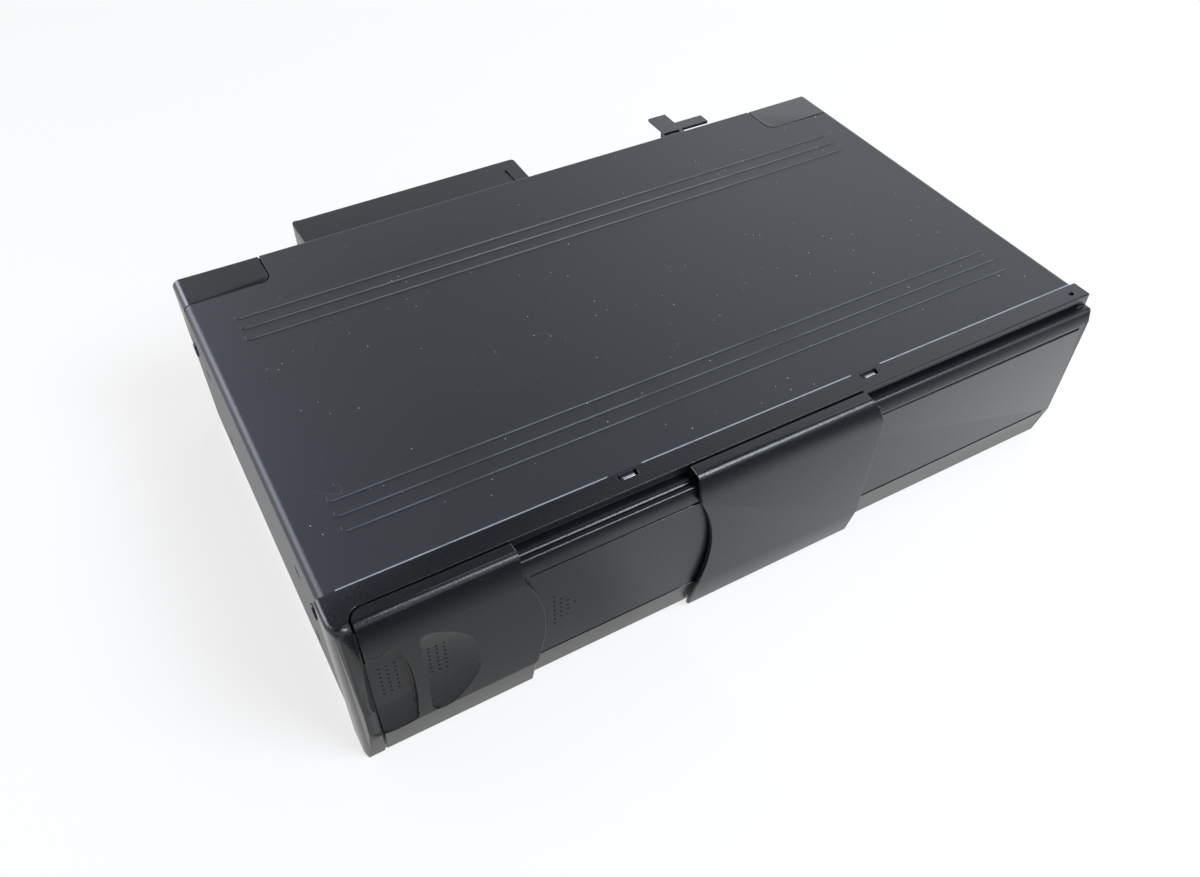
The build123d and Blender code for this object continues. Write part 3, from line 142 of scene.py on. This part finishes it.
class Finish(NodeTree):
    """A material under construction, with its main shader."""

    def __init__(self, name, colour, roughness, metallic=0.0, **fixed):
        self.name = name
        self.material = bpy.data.materials.new(name)
        super().__init__(self.material)
        self.shader = self.nodes["Principled BSDF"]
        self.shader.inputs["Base Color"].default_value = (*colour, 1)
        self.shader.inputs["Roughness"].default_value = roughness
        self.shader.inputs["Metallic"].default_value = metallic
        for socket, value in fixed.items():
            self.shader.inputs[socket.replace("_", " ")].default_value = value
        self.height = None
        self.place = self.node("TexCoord", output="Object")
        self.x, self.y, self.z = (self.node("SeparateXYZ", {}, {0: self.place}, axis) for axis in "XYZ")

    def noise(self, size, detail=2.0, rough=0.5, warp=0.0, at=None):
        """Soft variation about 0.5 whose blobs are about size metres."""
        sockets = {"Vector": at or self.place, "Scale": 1 / size, "Detail": detail}
        sockets.update({"Roughness": rough, "Distortion": warp})
        return self.node("TexNoise", {}, sockets)

    def stretched(self, x, y, z):
        """Object coordinates in units of (x, y, z) metres, for a grain with a direction."""
        units = {"Vector": self.place, "Scale": (x, y, z)}
        return self.node("Mapping", {"vector_type": "TEXTURE"}, units)

    def cells(self, size, **settings):
        """Distance from the middle of the nearest cell, in cells of about size metres."""
        return self.node("TexVoronoi", settings, {"Vector": self.place, "Scale": 1 / size}, "Distance")

    def specks(self, cell, radius):
        """Small round specks, about one to a few cells of the given size."""
        return 1 - self.cells(cell).between(radius / cell * 0.6, radius / cell)

    def scratches(self, size, width):
        """Thin wandering lines, broken into stretches."""
        field = self.noise(size, detail=1.0, rough=0.4, warp=0.6)
        broken = self.noise(size * 0.7).between(0.62, 0.66)
        return (1 - abs(field - 0.5).between(width * 0.5, width)) * broken

    def tint(self, mask, shade):
        """Blend the base colour towards shade where mask is 1."""
        base = self.shader.inputs["Base Color"]
        under = Reading(self, base.links[0].from_socket) if base.links else tuple(base.default_value)
        blend = self.node("Mix", {"data_type": "RGBA"}, {0: mask, 6: under, 7: (*shade, 1)}, 2)
        self.links.new(blend.socket, base)

    def rough(self, value):
        self.set(self.shader.inputs["Roughness"], value)

    def raise_by(self, amount):
        """Add a relief, in metres."""
        self.height = amount if self.height is None else self.height + amount

    def glow(self, colour, strength):
        return self.node("Emission", {}, {"Color": (*colour, 1), "Strength": strength})

    def show(self, shader):
        """Use a shader in place of the main one."""
        self.links.new(shader.socket, self.nodes["Material Output"].inputs["Surface"])

    def done(self):
        """Close the material, with its relief as bump."""
        if self.height is not None:
            relief = {"Strength": 1.0, "Distance": 1.0, "Height": self.height}
            self.links.new(self.node("Bump", {}, relief).socket, self.shader.inputs["Normal"])
        return self.material


# ---------------------------------------------------------------- finishes
def cover_paint():
    """Satin blue-black paint on the sheet cover: fine grain, dust, light scratches, and painted
    highlights along the front edge, the bead rims and the rear fold.
    """
    satin = 0.42
    paint = Finish("cover_paint", (0.0115, 0.014, 0.018), satin)
    cloud = paint.noise(60 * MM, detail=3.0)
    paint.tint(cloud.between(0.3, 0.8) * 0.5, (0.0145, 0.0172, 0.0218))
    grain = paint.noise(0.9 * MM, detail=3.0, rough=0.6)
    dust = paint.specks(3.6 * MM, 0.2 * MM) * paint.noise(20 * MM, detail=1.0).between(0.35, 0.6)
    lines = paint.scratches(35 * MM, 0.0012) * 0.3
    top = paint.z.between(*TOP_FACE_Z)
    beside_left, beside_right = (paint.x.band(*window, 0.8 * MM) for window in BESIDE_WINDOWS_X)
    # Painted highlight: a bright bluish line along the cover's rounded front edge, broken beside the
    # windows.
    front_edge = (1 - paint.y.between(*FRONT_EDGE_Y)) * top * (1 - (beside_left + beside_right))
    front_edge = front_edge * paint.x.between(*FRONT_EDGE_START_X)
    front_edge_highlight = front_edge * paint.noise(12 * MM).between(0.2, 0.45)
    # Painted highlight along the beads' rims, stronger on the front group of beads.
    bead_rim_highlight = paint.z.band(*BEAD_RIM_Z, 0.03 * MM) * paint.noise(30 * MM).between(0.25, 0.6)
    paint.tint(bead_rim_highlight * (0.7 - paint.y.between(*REAR_BEADS_Y) * 0.38), (0.11, 0.125, 0.15))
    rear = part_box("top_cover")[1][1]
    # Painted highlight along the cover's rounded rear fold.
    rear_edge_highlight = paint.y.between(*(rear - width for width in REAR_EDGE_WIDTH)) * top
    paint.tint(rear_edge_highlight * paint.noise(30 * MM).between(0.25, 0.5) * 0.8, (0.15, 0.16, 0.17))
    paint.tint(dust * top * 0.9, (0.62, 0.64, 0.66))
    paint.tint(lines, (0.11, 0.12, 0.13))
    paint.tint(front_edge_highlight * 0.85, (0.3, 0.33, 0.38))
    paint.rough(satin + cloud * 0.06 + dust * 0.3 - front_edge_highlight * 0.1 + (grain - 0.5) * 0.1)
    paint.raise_by((grain - 0.5) * (0.03 * MM))
    return paint


def moulded(name, colour, roughness=0.45, grain_size=0.6 * MM, grain_depth=0.04 * MM,
            worn=(0.06, 0.06, 0.062)):
    """Fine-textured moulding with faint clouding, handling marks and a little dust."""
    plastic = Finish(name, colour, roughness)
    cloud = plastic.noise(25 * MM, detail=3.0)
    grain = plastic.noise(grain_size, rough=0.6)
    marks = plastic.scratches(30 * MM, 0.0012) * 0.25
    dust = plastic.specks(5.5 * MM, 0.14 * MM) * 0.5
    plastic.tint(cloud.between(0.35, 0.75) * 0.3, tuple(1.5 * part for part in colour))
    plastic.tint(marks, worn)
    plastic.tint(dust, (0.3, 0.3, 0.3))
    plastic.rough(roughness - 0.03 + cloud * 0.06 + (grain - 0.5) * 0.12)
    plastic.raise_by((grain - 0.5) * grain_depth)
    return plastic


def metal(name, colour, roughness, grain_size=(0.0004, 0.02, 0.0004), depth=0.006 * MM):
    """Metal with a grain, which a long size along one axis makes a brushed one, and dull patches."""
    steel = Finish(name, colour, roughness, metallic=1.0)
    grain = steel.noise(1.0, rough=0.6, at=steel.stretched(*grain_size))
    cloud = steel.noise(18 * MM, detail=3.0)
    steel.tint(cloud.between(0.45, 0.75) * 0.4, (0.3, 0.3, 0.31))
    steel.rough(roughness + (cloud - 0.5) * 0.2 + (grain - 0.5) * 0.15)
    steel.raise_by((grain - 0.5) * depth)
    return steel


def circuit_board():
    """Green solder mask with traces, dark chips above it and tinned pads."""
    board = Finish("board", (0.012, 0.075, 0.03), 0.35)
    traces = board.cells(4 * MM, distance="CHEBYCHEV", feature="F1").band(0.42, 0.5, 0.02)
    board.tint(traces * 0.8, (0.02, 0.13, 0.05))
    board.tint(board.specks(3 * MM, 0.45 * MM), (0.5, 0.5, 0.48))
    chips = board.z.band(*CHIPS_Z, 0.05 * MM)
    board.tint(chips, (0.012, 0.012, 0.013))
    board.rough(0.35 + chips * 0.15)
    board.raise_by(traces * (0.03 * MM))
    return board


def lens_glass():
    """Dark coated glass with a faint violet cast."""
    lens = Finish("lens", (0.02, 0.025, 0.05), 0.12, Coat_Weight=0.6)
    cast = lens.noise(4 * MM, detail=1.0)
    lens.tint(cast.between(0.4, 0.7) * 0.5, (0.05, 0.03, 0.09))
    lens.rough(0.08 + cast * 0.1)
    return lens


FINISHES = {finish.name: finish.done() for finish in (
    cover_paint(),
    moulded("case_plastic", (0.005, 0.0062, 0.0076), 0.3),
    metal("zinc_steel", (0.55, 0.56, 0.55), 0.38),
    metal("black_screws", (0.05, 0.05, 0.052), 0.4, (0.001, 0.001, 0.001)),
    moulded("magazine_plastic", (0.022, 0.022, 0.024), 0.55, 0.9 * MM, 0.08 * MM),
    moulded("tray_plastic", (0.11, 0.11, 0.115), 0.5, worn=(0.25, 0.25, 0.25)),
    metal("bright_steel", (0.72, 0.72, 0.73), 0.16, (0.002, 0.002, 0.002)),
    metal("motor_cans", (0.5, 0.5, 0.5), 0.3, (0.02, 0.02, 0.0005)),
    moulded("gear_plastic", (0.72, 0.7, 0.63), 0.4, worn=(0.5, 0.48, 0.42)),
    metal("pickup_metal", (0.42, 0.42, 0.44), 0.5, (0.0006, 0.0006, 0.0006), 0.03 * MM),
    lens_glass(),
    circuit_board(),
    moulded("socket_plastic", (0.013, 0.013, 0.014), 0.4),
    moulded("damper_rubber", (0.02, 0.02, 0.02), 0.75, worn=(0.05, 0.05, 0.05)),
    # Painted shade: a near-black finish for the insides of the door's pits.
    moulded("pit_painted_shade", (0.0015, 0.0017, 0.002), 0.8, worn=(0.003, 0.003, 0.003)),
)}


def dress_nodes():
    """Give every CAD node the finish of its own material slot."""
    for part in frame["record"]["subparts"]:
        mesh = frame["nodes"][part["node"]].data
        mesh.materials.clear()
        mesh.materials.append(FINISHES[part["material_slot"]])


# ---------------------------------------------------------------- pieces
def body_of(node):
    bodies = frame["record"]["behaviour"]["bodies"]
    return next(body for body, nodes in bodies.items() if node in nodes)


def slot_of(node):
    return next(part["material_slot"] for part in frame["record"]["subparts"] if part["node"] == node)


def as_mesh(name, bm):
    mesh = bpy.data.meshes.new(name)
    bm.to_mesh(mesh)
    bm.free()
    return mesh


def as_object(name, data):
    made = bpy.data.objects.new(name, data)
    bpy.context.scene.collection.objects.link(made)
    return made


def shade(mesh):
    """Smooth shading that keeps the sharp edges."""
    mesh.shade_smooth()
    mesh.set_sharp_from_angle(angle=SHARP_FROM)


def piece(name, bm, body, slot):
    """Make a finished mesh an object that rides on a body."""
    mesh = as_mesh(name, bm)
    shade(mesh)
    mesh.materials.append(FINISHES[slot])
    made = as_object(name, mesh)
    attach(made, body)
    return made


def even_shading(made):
    """Flat shading on large faces, with the curvature left to the rounds between them."""
    made.modifiers.new("even_shading", "WEIGHTED_NORMAL").keep_sharp = True


def merged(node):
    """The CAD node's shape with its triangles joined into whole faces."""
    bm = bmesh.new()
    bm.from_mesh(frame["nodes"][node].data)
    bmesh.ops.remove_doubles(bm, verts=bm.verts, dist=MERGE_WITHIN)
    bmesh.ops.dissolve_limit(bm, angle_limit=math.radians(0.8), verts=bm.verts, edges=bm.edges)
    return bm


def strip_width(face):
    """How wide a face is across its longest edge."""
    return face.calc_area() / max(edge.calc_length() for edge in face.edges)


def sharp_edges(bm, least_angle, least_width):
    """Edges between two faces that meet at an angle and are both wide enough."""
    return [edge for edge in bm.edges if len(edge.link_faces) == 2
            and edge.calc_face_angle(0) > math.radians(least_angle)
            and min(strip_width(face) for face in edge.link_faces) > least_width]


def round_off(bm, edges, width, segments):
    bmesh.ops.bevel(bm, geom=edges, offset=width, offset_type="OFFSET", affect="EDGES",
                    segments=segments, profile=0.5, material=-1, clamp_overlap=False)


def softened(node, width, shape=None, keep=None):
    """The CAD node with its edges rounded, less where faces are narrow, which stands for the node.

    shape changes the mesh first, and keep names the edges that stay sharp.
    """
    fine = 0.1 * MM
    bm = merged(node)
    if shape:
        shape(bm)
    for least_angle, least_width, by, segments in ((28, 2.4 * width, width, 3), (50, 3 * fine, fine, 1)):
        edges = [edge for edge in sharp_edges(bm, least_angle, least_width) if not (keep and keep(edge))]
        round_off(bm, edges, by, segments)
    made = piece("soft_" + node, bm, body_of(node), slot_of(node))
    even_shading(made)
    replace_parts(made, node)
    return made


def beside_left_gap(edge):
    """Edges along the gap between the end piece and the grip, where both are scooped."""
    near, scoop_top = 0.05 * MM, 52.5 * MM
    return all(END_PIECE_EDGE - near < vert.co.x < GRIP_EDGE + near and vert.co.z < scoop_top
               for vert in edge.verts)


def kept_on_door(edge):
    """The gap's edges, and the inner corner where the centre cover's edge comes to rest."""
    grip_end = -80 * MM
    meets_cover = not edge.is_convex and all(vert.co.x > grip_end for vert in edge.verts)
    return beside_left_gap(edge) or meets_cover


def lengthways(bm, y, z, tolerance=0.08 * MM):
    """Long edges across the front that pass near (y, z)."""
    return [edge for edge in bm.edges if edge.calc_length() > 10 * MM
            and all(abs(vert.co.y - y) < tolerance and abs(vert.co.z - z) < tolerance
                    for vert in edge.verts)]


def fade_scoop(bm):
    """Let the tall finger recess run out across the end piece. Lengths here are in millimetres."""
    inner_edge = END_PIECE_EDGE / MM
    outline_foot, outline_bend, outline_lean = -126.2, 27.0, 2.8 / 19.8
    face_top_y, face_top_z, face_lean = -88.7, 53.1, 0.9 / 40.1
    depth_kept = 0.2
    moved = set()
    for vert in bm.verts:
        x, y, z = vert.co / MM
        if outline_foot - 0.2 < x < inner_edge + 0.1 and 12.0 < z < 50.2:
            outline = outline_foot + outline_lean * max(z - outline_bend, 0)
            share = min(max((x - outline) / (inner_edge - outline), 0), 1)
            face = face_top_y + face_lean * (face_top_z - z)
            if 0.02 < y - face < 2.6:
                vert.co.y = (face + (y - face) * share * depth_kept) * MM
                moved.add(vert)
    bmesh.ops.remove_doubles(bm, verts=bm.verts, dist=2 * MERGE_WITHIN)
    bmesh.ops.dissolve_degenerate(bm, dist=MERGE_WITHIN, edges=bm.edges)
    bent = {face for vert in moved if vert.is_valid for face in vert.link_faces if len(face.verts) > 3}
    bmesh.ops.triangulate(bm, faces=list(bent))


def shape_bezel(bm):
    """Fade the recess, and round the end piece's outer rim and the shelf's front edge."""
    fade_scoop(bm)
    centre, radius = Vector((-121.3 * MM, -81.7 * MM)), 7 * MM
    rim_right, rim_back, rim_foot = -123.1 * MM, -74.4 * MM, 54.5 * MM

    def on_outline(vert):
        x, y, z = vert.co
        on_side = abs(x - centre.x + radius) < 0.02 * MM and y > centre.y - 0.02 * MM
        on_corner = y < centre.y and abs((Vector((x, y)) - centre).length - radius) < 0.03 * MM
        return z > rim_foot and x < rim_right and y < rim_back and (on_side or on_corner)

    def lies_flat(edge):
        return abs(edge.verts[0].co.z - edge.verts[1].co.z) < 0.8 * edge.calc_length()

    rim = [edge for edge in bm.edges if len(edge.link_faces) == 2
           and edge.calc_face_angle(0) > math.radians(24)
           and all(on_outline(vert) for vert in edge.verts) and lies_flat(edge)]
    round_off(bm, rim, 1.5 * MM, 5)
    shelf = (lengthways(bm, -83.27 * MM, 57.6 * MM)
             + lengthways(bm, -83.37 * MM, 56.9 * MM, tolerance=0.6 * MM))
    round_off(bm, list(dict.fromkeys(shelf)), 0.3 * MM, 3)


def shape_door(bm):
    """Keep the upper groove's end clear of the grip's edge."""
    groove_end, groove_z, front = -77.7 * MM, 51.5 * MM, -85 * MM
    moved_by = 1.4 * MM
    for vert in bm.verts:
        x, y, z = vert.co
        if abs(x - groove_end) < 0.01 * MM and abs(z - groove_z) < 0.4 * MM and y < front:
            vert.co.x += moved_by


def shape_cover(bm):
    """Set the left edge back by a hair, so that the grip closes against it without rubbing."""
    left_part, set_back = -15 * MM, 0.08 * MM
    for vert in bm.verts:
        if vert.co.x < left_part:
            vert.co.x += set_back


def dot_places():
    """(x, z) of the pits: a block in each finger recess and an arrow on the mid panel."""
    heights = [40.5 - 2.0 * row for row in range(7)]
    blocks = [(column, z) for column in (8.2, 10.3, 12.5, 21.5, 23.7, 25.8) for z in heights]
    arrow_left, arrow_middle = 57.9, 31.4
    arrow = [(arrow_left + 2.1 * step, arrow_middle + 2.06 * (dot - (3 - step)))
             for step in range(4) for dot in range(7 - 2 * step)]
    return [(from_left * MM - HALF_WIDTH, z * MM) for from_left, z in blocks + arrow]


def pit_cutter(surface):
    """Small tapered plugs that enter the door's front where the dots are."""
    plugs = bmesh.new()
    tree = BVHTree.FromBMesh(surface)
    in_front, backwards = -120 * MM, Vector((0, 1, 0))
    for x, z in dot_places():
        place, normal, _, _ = tree.ray_cast(Vector((x, in_front, z)), backwards)
        turn = normal.to_track_quat("Z", "Y").to_matrix().to_4x4()
        bmesh.ops.create_cone(plugs, cap_ends=True, segments=10, radius1=0.28 * MM, radius2=0.44 * MM,
                              depth=0.9 * MM, matrix=Matrix.Translation(place) @ turn)
    return plugs


def with_pits(door):
    """Cut the pits into the finished door, with painted shade, a near-black finish, on their walls and
    floors.
    """
    surface = bmesh.new()
    surface.from_mesh(door.data)
    mesh = as_mesh("pit_plugs", pit_cutter(surface))
    surface.free()
    mesh.materials.append(FINISHES["pit_painted_shade"])
    cutter = as_object("pit_plugs", mesh)
    door.modifiers.clear()
    cut = door.modifiers.new("pits", "BOOLEAN")
    cut.operation, cut.solver, cut.object, cut.material_mode = "DIFFERENCE", "EXACT", cutter, "TRANSFER"
    graph = bpy.context.evaluated_depsgraph_get()
    pitted = bpy.data.meshes.new_from_object(door.evaluated_get(graph), depsgraph=graph)
    door.modifiers.clear()
    door.data = pitted
    bpy.data.objects.remove(cutter)
    shade(pitted)
    even_shading(door)


def bar_across(name, outline, left, right, slot, bevel=0.0):
    """A bar of the casing with the given (y, z) outline in millimetres, from left to right."""
    bm = bmesh.new()
    face = bm.faces.new([bm.verts.new((left, y * MM, z * MM)) for y, z in outline])
    moved = bmesh.ops.extrude_face_region(bm, geom=[face])["geom"]
    far_end = [part for part in moved if isinstance(part, bmesh.types.BMVert)]
    bmesh.ops.translate(bm, verts=far_end, vec=(right - left, 0, 0))
    bmesh.ops.recalc_face_normals(bm, faces=bm.faces)
    if bevel:
        round_off(bm, list(bm.edges), bevel, 2)
    piece(name, bm, "chassis", slot)


def gap_web():
    """The thin web that closes the gap between the end piece and the grip."""
    front = [(-85.7, 58.5), (-85.7, 53.1), (-84.9, 13.0), (-86.6, 9.0), (-85.7, 4.0), (-84.7, 0.8)]
    back = [(-83.0, 0.8), (-83.3, 12.8), (-84.2, 53.1), (-83.0, 58.5)]
    into_end_piece, short_of_grip = 0.08 * MM, 0.06 * MM
    bar_across("gap_web", front + back, END_PIECE_EDGE - into_end_piece, GRIP_EDGE - short_of_grip,
               "case_plastic")


def window_hooks():
    """Bare metal snap hooks that show in the lip's two windows."""
    outline = [(-77.1, 61.1), (-77.05, 61.55), (-76.8, 61.7), (-76.2, 61.65), (-75.9, 61.1)]
    for number, left in enumerate((-42.9 * MM, 39.7 * MM)):
        bar_across(f"window_hook_{number + 1}", outline, left, left + 3.6 * MM, "pickup_metal", 0.1 * MM)


def screw_head():
    """A pan head on its own axis, with a six-lobed recess."""
    radius, height, rim = 2.4 * MM, 0.7 * MM, 0.7 * MM
    head = bmesh.new()
    bmesh.ops.create_cone(head, cap_ends=True, segments=48, radius1=radius, radius2=radius, depth=height)
    round_off(head, [edge for edge in head.edges if all(v.co.z > 0 for v in edge.verts)], 0.4 * MM, 4)
    top = max(head.faces, key=lambda face: face.calc_center_median().z)
    bmesh.ops.inset_region(head, faces=[top], thickness=rim)
    for vert in top.verts:
        turn = math.atan2(vert.co.y, vert.co.x)
        lobed = (1.02 + 0.2 * math.cos(6 * turn)) * MM
        vert.co.xy = Vector((math.cos(turn), math.sin(turn))) * lobed
    sunk = bmesh.ops.extrude_face_region(head, geom=[top])["geom"]
    floor = [part for part in sunk if isinstance(part, bmesh.types.BMVert)]
    bmesh.ops.translate(head, verts=floor, vec=(0, 0, -0.5 * MM))
    return head


def screw_heads():
    """The screws on the cover's sides and the rear wall."""
    rear_wall, seated_by = 68 * MM, 0.35 * MM
    places = [((side * HALF_WIDTH, y, 42 * MM), (side, 0, 0))
              for side in (-1, 1) for y in (-62.5 * MM, 56 * MM)]
    places += [((side * 115.5 * MM, rear_wall, 10 * MM), (0, 1, 0)) for side in (-1, 1)]
    whole = bmesh.new()
    for place, away in places:
        head = screw_head()
        turned = Vector(away).to_track_quat("Z", "Y").to_matrix().to_4x4()
        middle = Vector(place) + Vector(away) * seated_by
        bmesh.ops.transform(head, verts=head.verts, matrix=Matrix.Translation(middle) @ turned)
        mesh = as_mesh("head", head)
        whole.from_mesh(mesh)
        bpy.data.meshes.remove(mesh)
    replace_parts(piece("screw_heads", whole, "chassis", "black_screws"), "case_screws")


# ---------------------------------------------------------------- surroundings
def table_top():
    """Pale table that stays white to the camera and keeps the object's soft shadow; in reflections a
    band before the grip glows dimmer, a painted shade.
    """
    bm = bmesh.new()
    bmesh.ops.create_grid(bm, x_segments=1, y_segments=1, size=6.0)
    mesh = as_mesh("table_top", bm)
    table = as_object("table_top", mesh)
    top = Finish("table_white", (0.86, 0.86, 0.855), 0.6)
    seen, glossy = top.ray("Camera").most(top.ray("Transmission")), top.ray("Glossy")
    white_when_seen, white_in_gloss = 0.72, 0.95
    # Painted shade seen only in reflections: before the grip the table glows at 0.55 to glossy rays.
    before_grip = top.x.band(-0.122, -0.05, 0.03) * (1 - top.y.between(-0.1, -0.08))
    full, shaded_glow = (top.glow((1.0, 1.0, 1.0), strength) for strength in (1.0, 0.55))
    white = top.mixed(glossy * before_grip, full, shaded_glow)
    lit = Reading(top, top.shader.outputs[0])
    top.show(top.mixed(seen * white_when_seen + glossy * white_in_gloss, lit, white))
    mesh.materials.append(top.done())


def room():
    """White surroundings that darken overhead, and a plain level of light."""
    world = bpy.data.worlds.new("room")
    bpy.context.scene.world = world
    walls = NodeTree(world)
    plain = walls.nodes["Background"]
    plain.inputs["Color"].default_value = (1.0, 1.0, 1.0, 1)
    plain.inputs["Strength"].default_value = 0.55
    height = walls.node("SeparateXYZ", {}, {0: walls.node("TexCoord", output="Generated")}, "Z")
    levels = ((0.42, 1.0), (0.55, 0.9), (0.60, 0.42), (0.68, 0.2), (0.78, 0.09))
    stops = [(position, (level * 0.95, level, level * 1.05)) for position, level in levels]
    sky = walls.node("ValToRGB", {"stops": stops}, {0: height})
    shown = walls.node("Background", {}, {"Color": sky})
    seen = walls.ray("Camera").most(walls.ray("Glossy")).most(walls.ray("Transmission"))
    mix = walls.mixed(seen, Reading(walls, plain.outputs[0]), shown)
    walls.links.new(mix.socket, walls.nodes["World Output"].inputs["Surface"])


def card(name, finish, corner, far_corner, height):
    """A flat card on the table that only reflections show."""
    bm = bmesh.new()
    bmesh.ops.create_grid(bm, x_segments=1, y_segments=1, size=0.5)
    size = Vector(far_corner) - Vector(corner)
    middle = (Vector(far_corner) + Vector(corner)) / 2
    place = Matrix.Translation((*middle, height)) @ Matrix.Diagonal((*size, 1, 1))
    bmesh.ops.transform(bm, verts=bm.verts, matrix=place)
    mesh = as_mesh(name, bm)
    mesh.materials.append(finish.done())
    made = as_object(name, mesh)
    made.visible_camera = made.visible_diffuse = made.visible_shadow = False


def reflection_cards():
    """Dark in front of the object, and a bright strip close before its right half."""
    dark = Finish("card_black", (0.01, 0.01, 0.01), 0.9)
    card("black_card", dark, (-0.85, -1.2), (1.15, -0.15), 4 * MM)
    bright = Finish("card_bright", (0.0, 0.0, 0.0), 0.9)
    left, right = (bright.glow((0.96, 0.985, 1.0), strength) for strength in (0.95, 1.7))
    bright.show(bright.mixed(bright.x.between(-0.03, 0.2), left, right))
    card("bright_card", bright, (-0.03, -0.147), (0.6, -0.085), 2 * MM)


def lamp(name, place, target, size, watts, colour, lights_all=True):
    """A soft box aimed at a target; one that doesn't light all gives only its reflection."""
    light = bpy.data.lights.new(name, "AREA")
    light.shape = "RECTANGLE"
    light.size, light.size_y = size
    light.energy = watts
    light.color = colour
    made = as_object(name, light)
    made.visible_diffuse = lights_all
    turn = (Vector(target) - Vector(place)).to_track_quat("-Z", "Y").to_matrix().to_4x4()
    made.matrix_world = Matrix.Translation(place) @ turn


def lamps():
    """One before the object, one behind it at either side."""
    middle = (0, 0, 0.05)
    lamp("front_box", place=(0.5, -0.78, 1.05), target=(0, -0.05, 0.05), size=(0.6, 0.6),
         watts=18.0, colour=(0.84, 0.91, 1.0))
    lamp("window", place=(-0.75, 0.85, 0.75), target=middle, size=(0.9, 0.7),
         watts=18.0, colour=(0.8, 0.84, 1.0), lights_all=False)
    lamp("key", place=(1.1, 0.8, 0.95), target=middle, size=(1.2, 1.0),
         watts=3.5, colour=(0.94, 0.97, 1.0))


def camera():
    """The photograph's viewpoint, solved from the casing's corners and edges."""
    heading, pitch, roll = -29.7938, 45.8779, 0.4841
    lens = bpy.data.cameras.new("camera")
    lens.sensor_fit = "HORIZONTAL"
    lens.sensor_width = 36.0
    lens.lens = 31.388
    lens.clip_start = 10 * MM
    made = as_object("camera", lens)
    turn = (Matrix.Rotation(math.radians(heading), 4, "Z")
            @ Matrix.Rotation(math.radians(90 - pitch), 4, "X")
            @ Matrix.Rotation(math.radians(roll), 4, "Z"))
    made.matrix_world = Matrix.Translation((-0.14137, -0.23580, 0.26988)) @ turn
    bpy.context.scene.camera = made


# ---------------------------------------------------------------- put together
dress_nodes()
softened("top_cover", 0.3 * MM)
softened("front_bezel", 0.4 * MM, shape=shape_bezel, keep=beside_left_gap)
with_pits(softened("front_door", 0.45 * MM, shape=shape_door, keep=kept_on_door))
softened("centre_cover", 0.4 * MM, shape=shape_cover)
softened("rear_panel", 0.5 * MM)
softened("interface_box", 0.5 * MM)
softened("interface_lid", 0.4 * MM)
softened("cable_clip", 0.3 * MM)
gap_web()
window_hooks()
screw_heads()

camera()
table_top()
room()
reflection_cards()
lamps()
bpy.context.scene.view_settings.view_transform = "Standard"
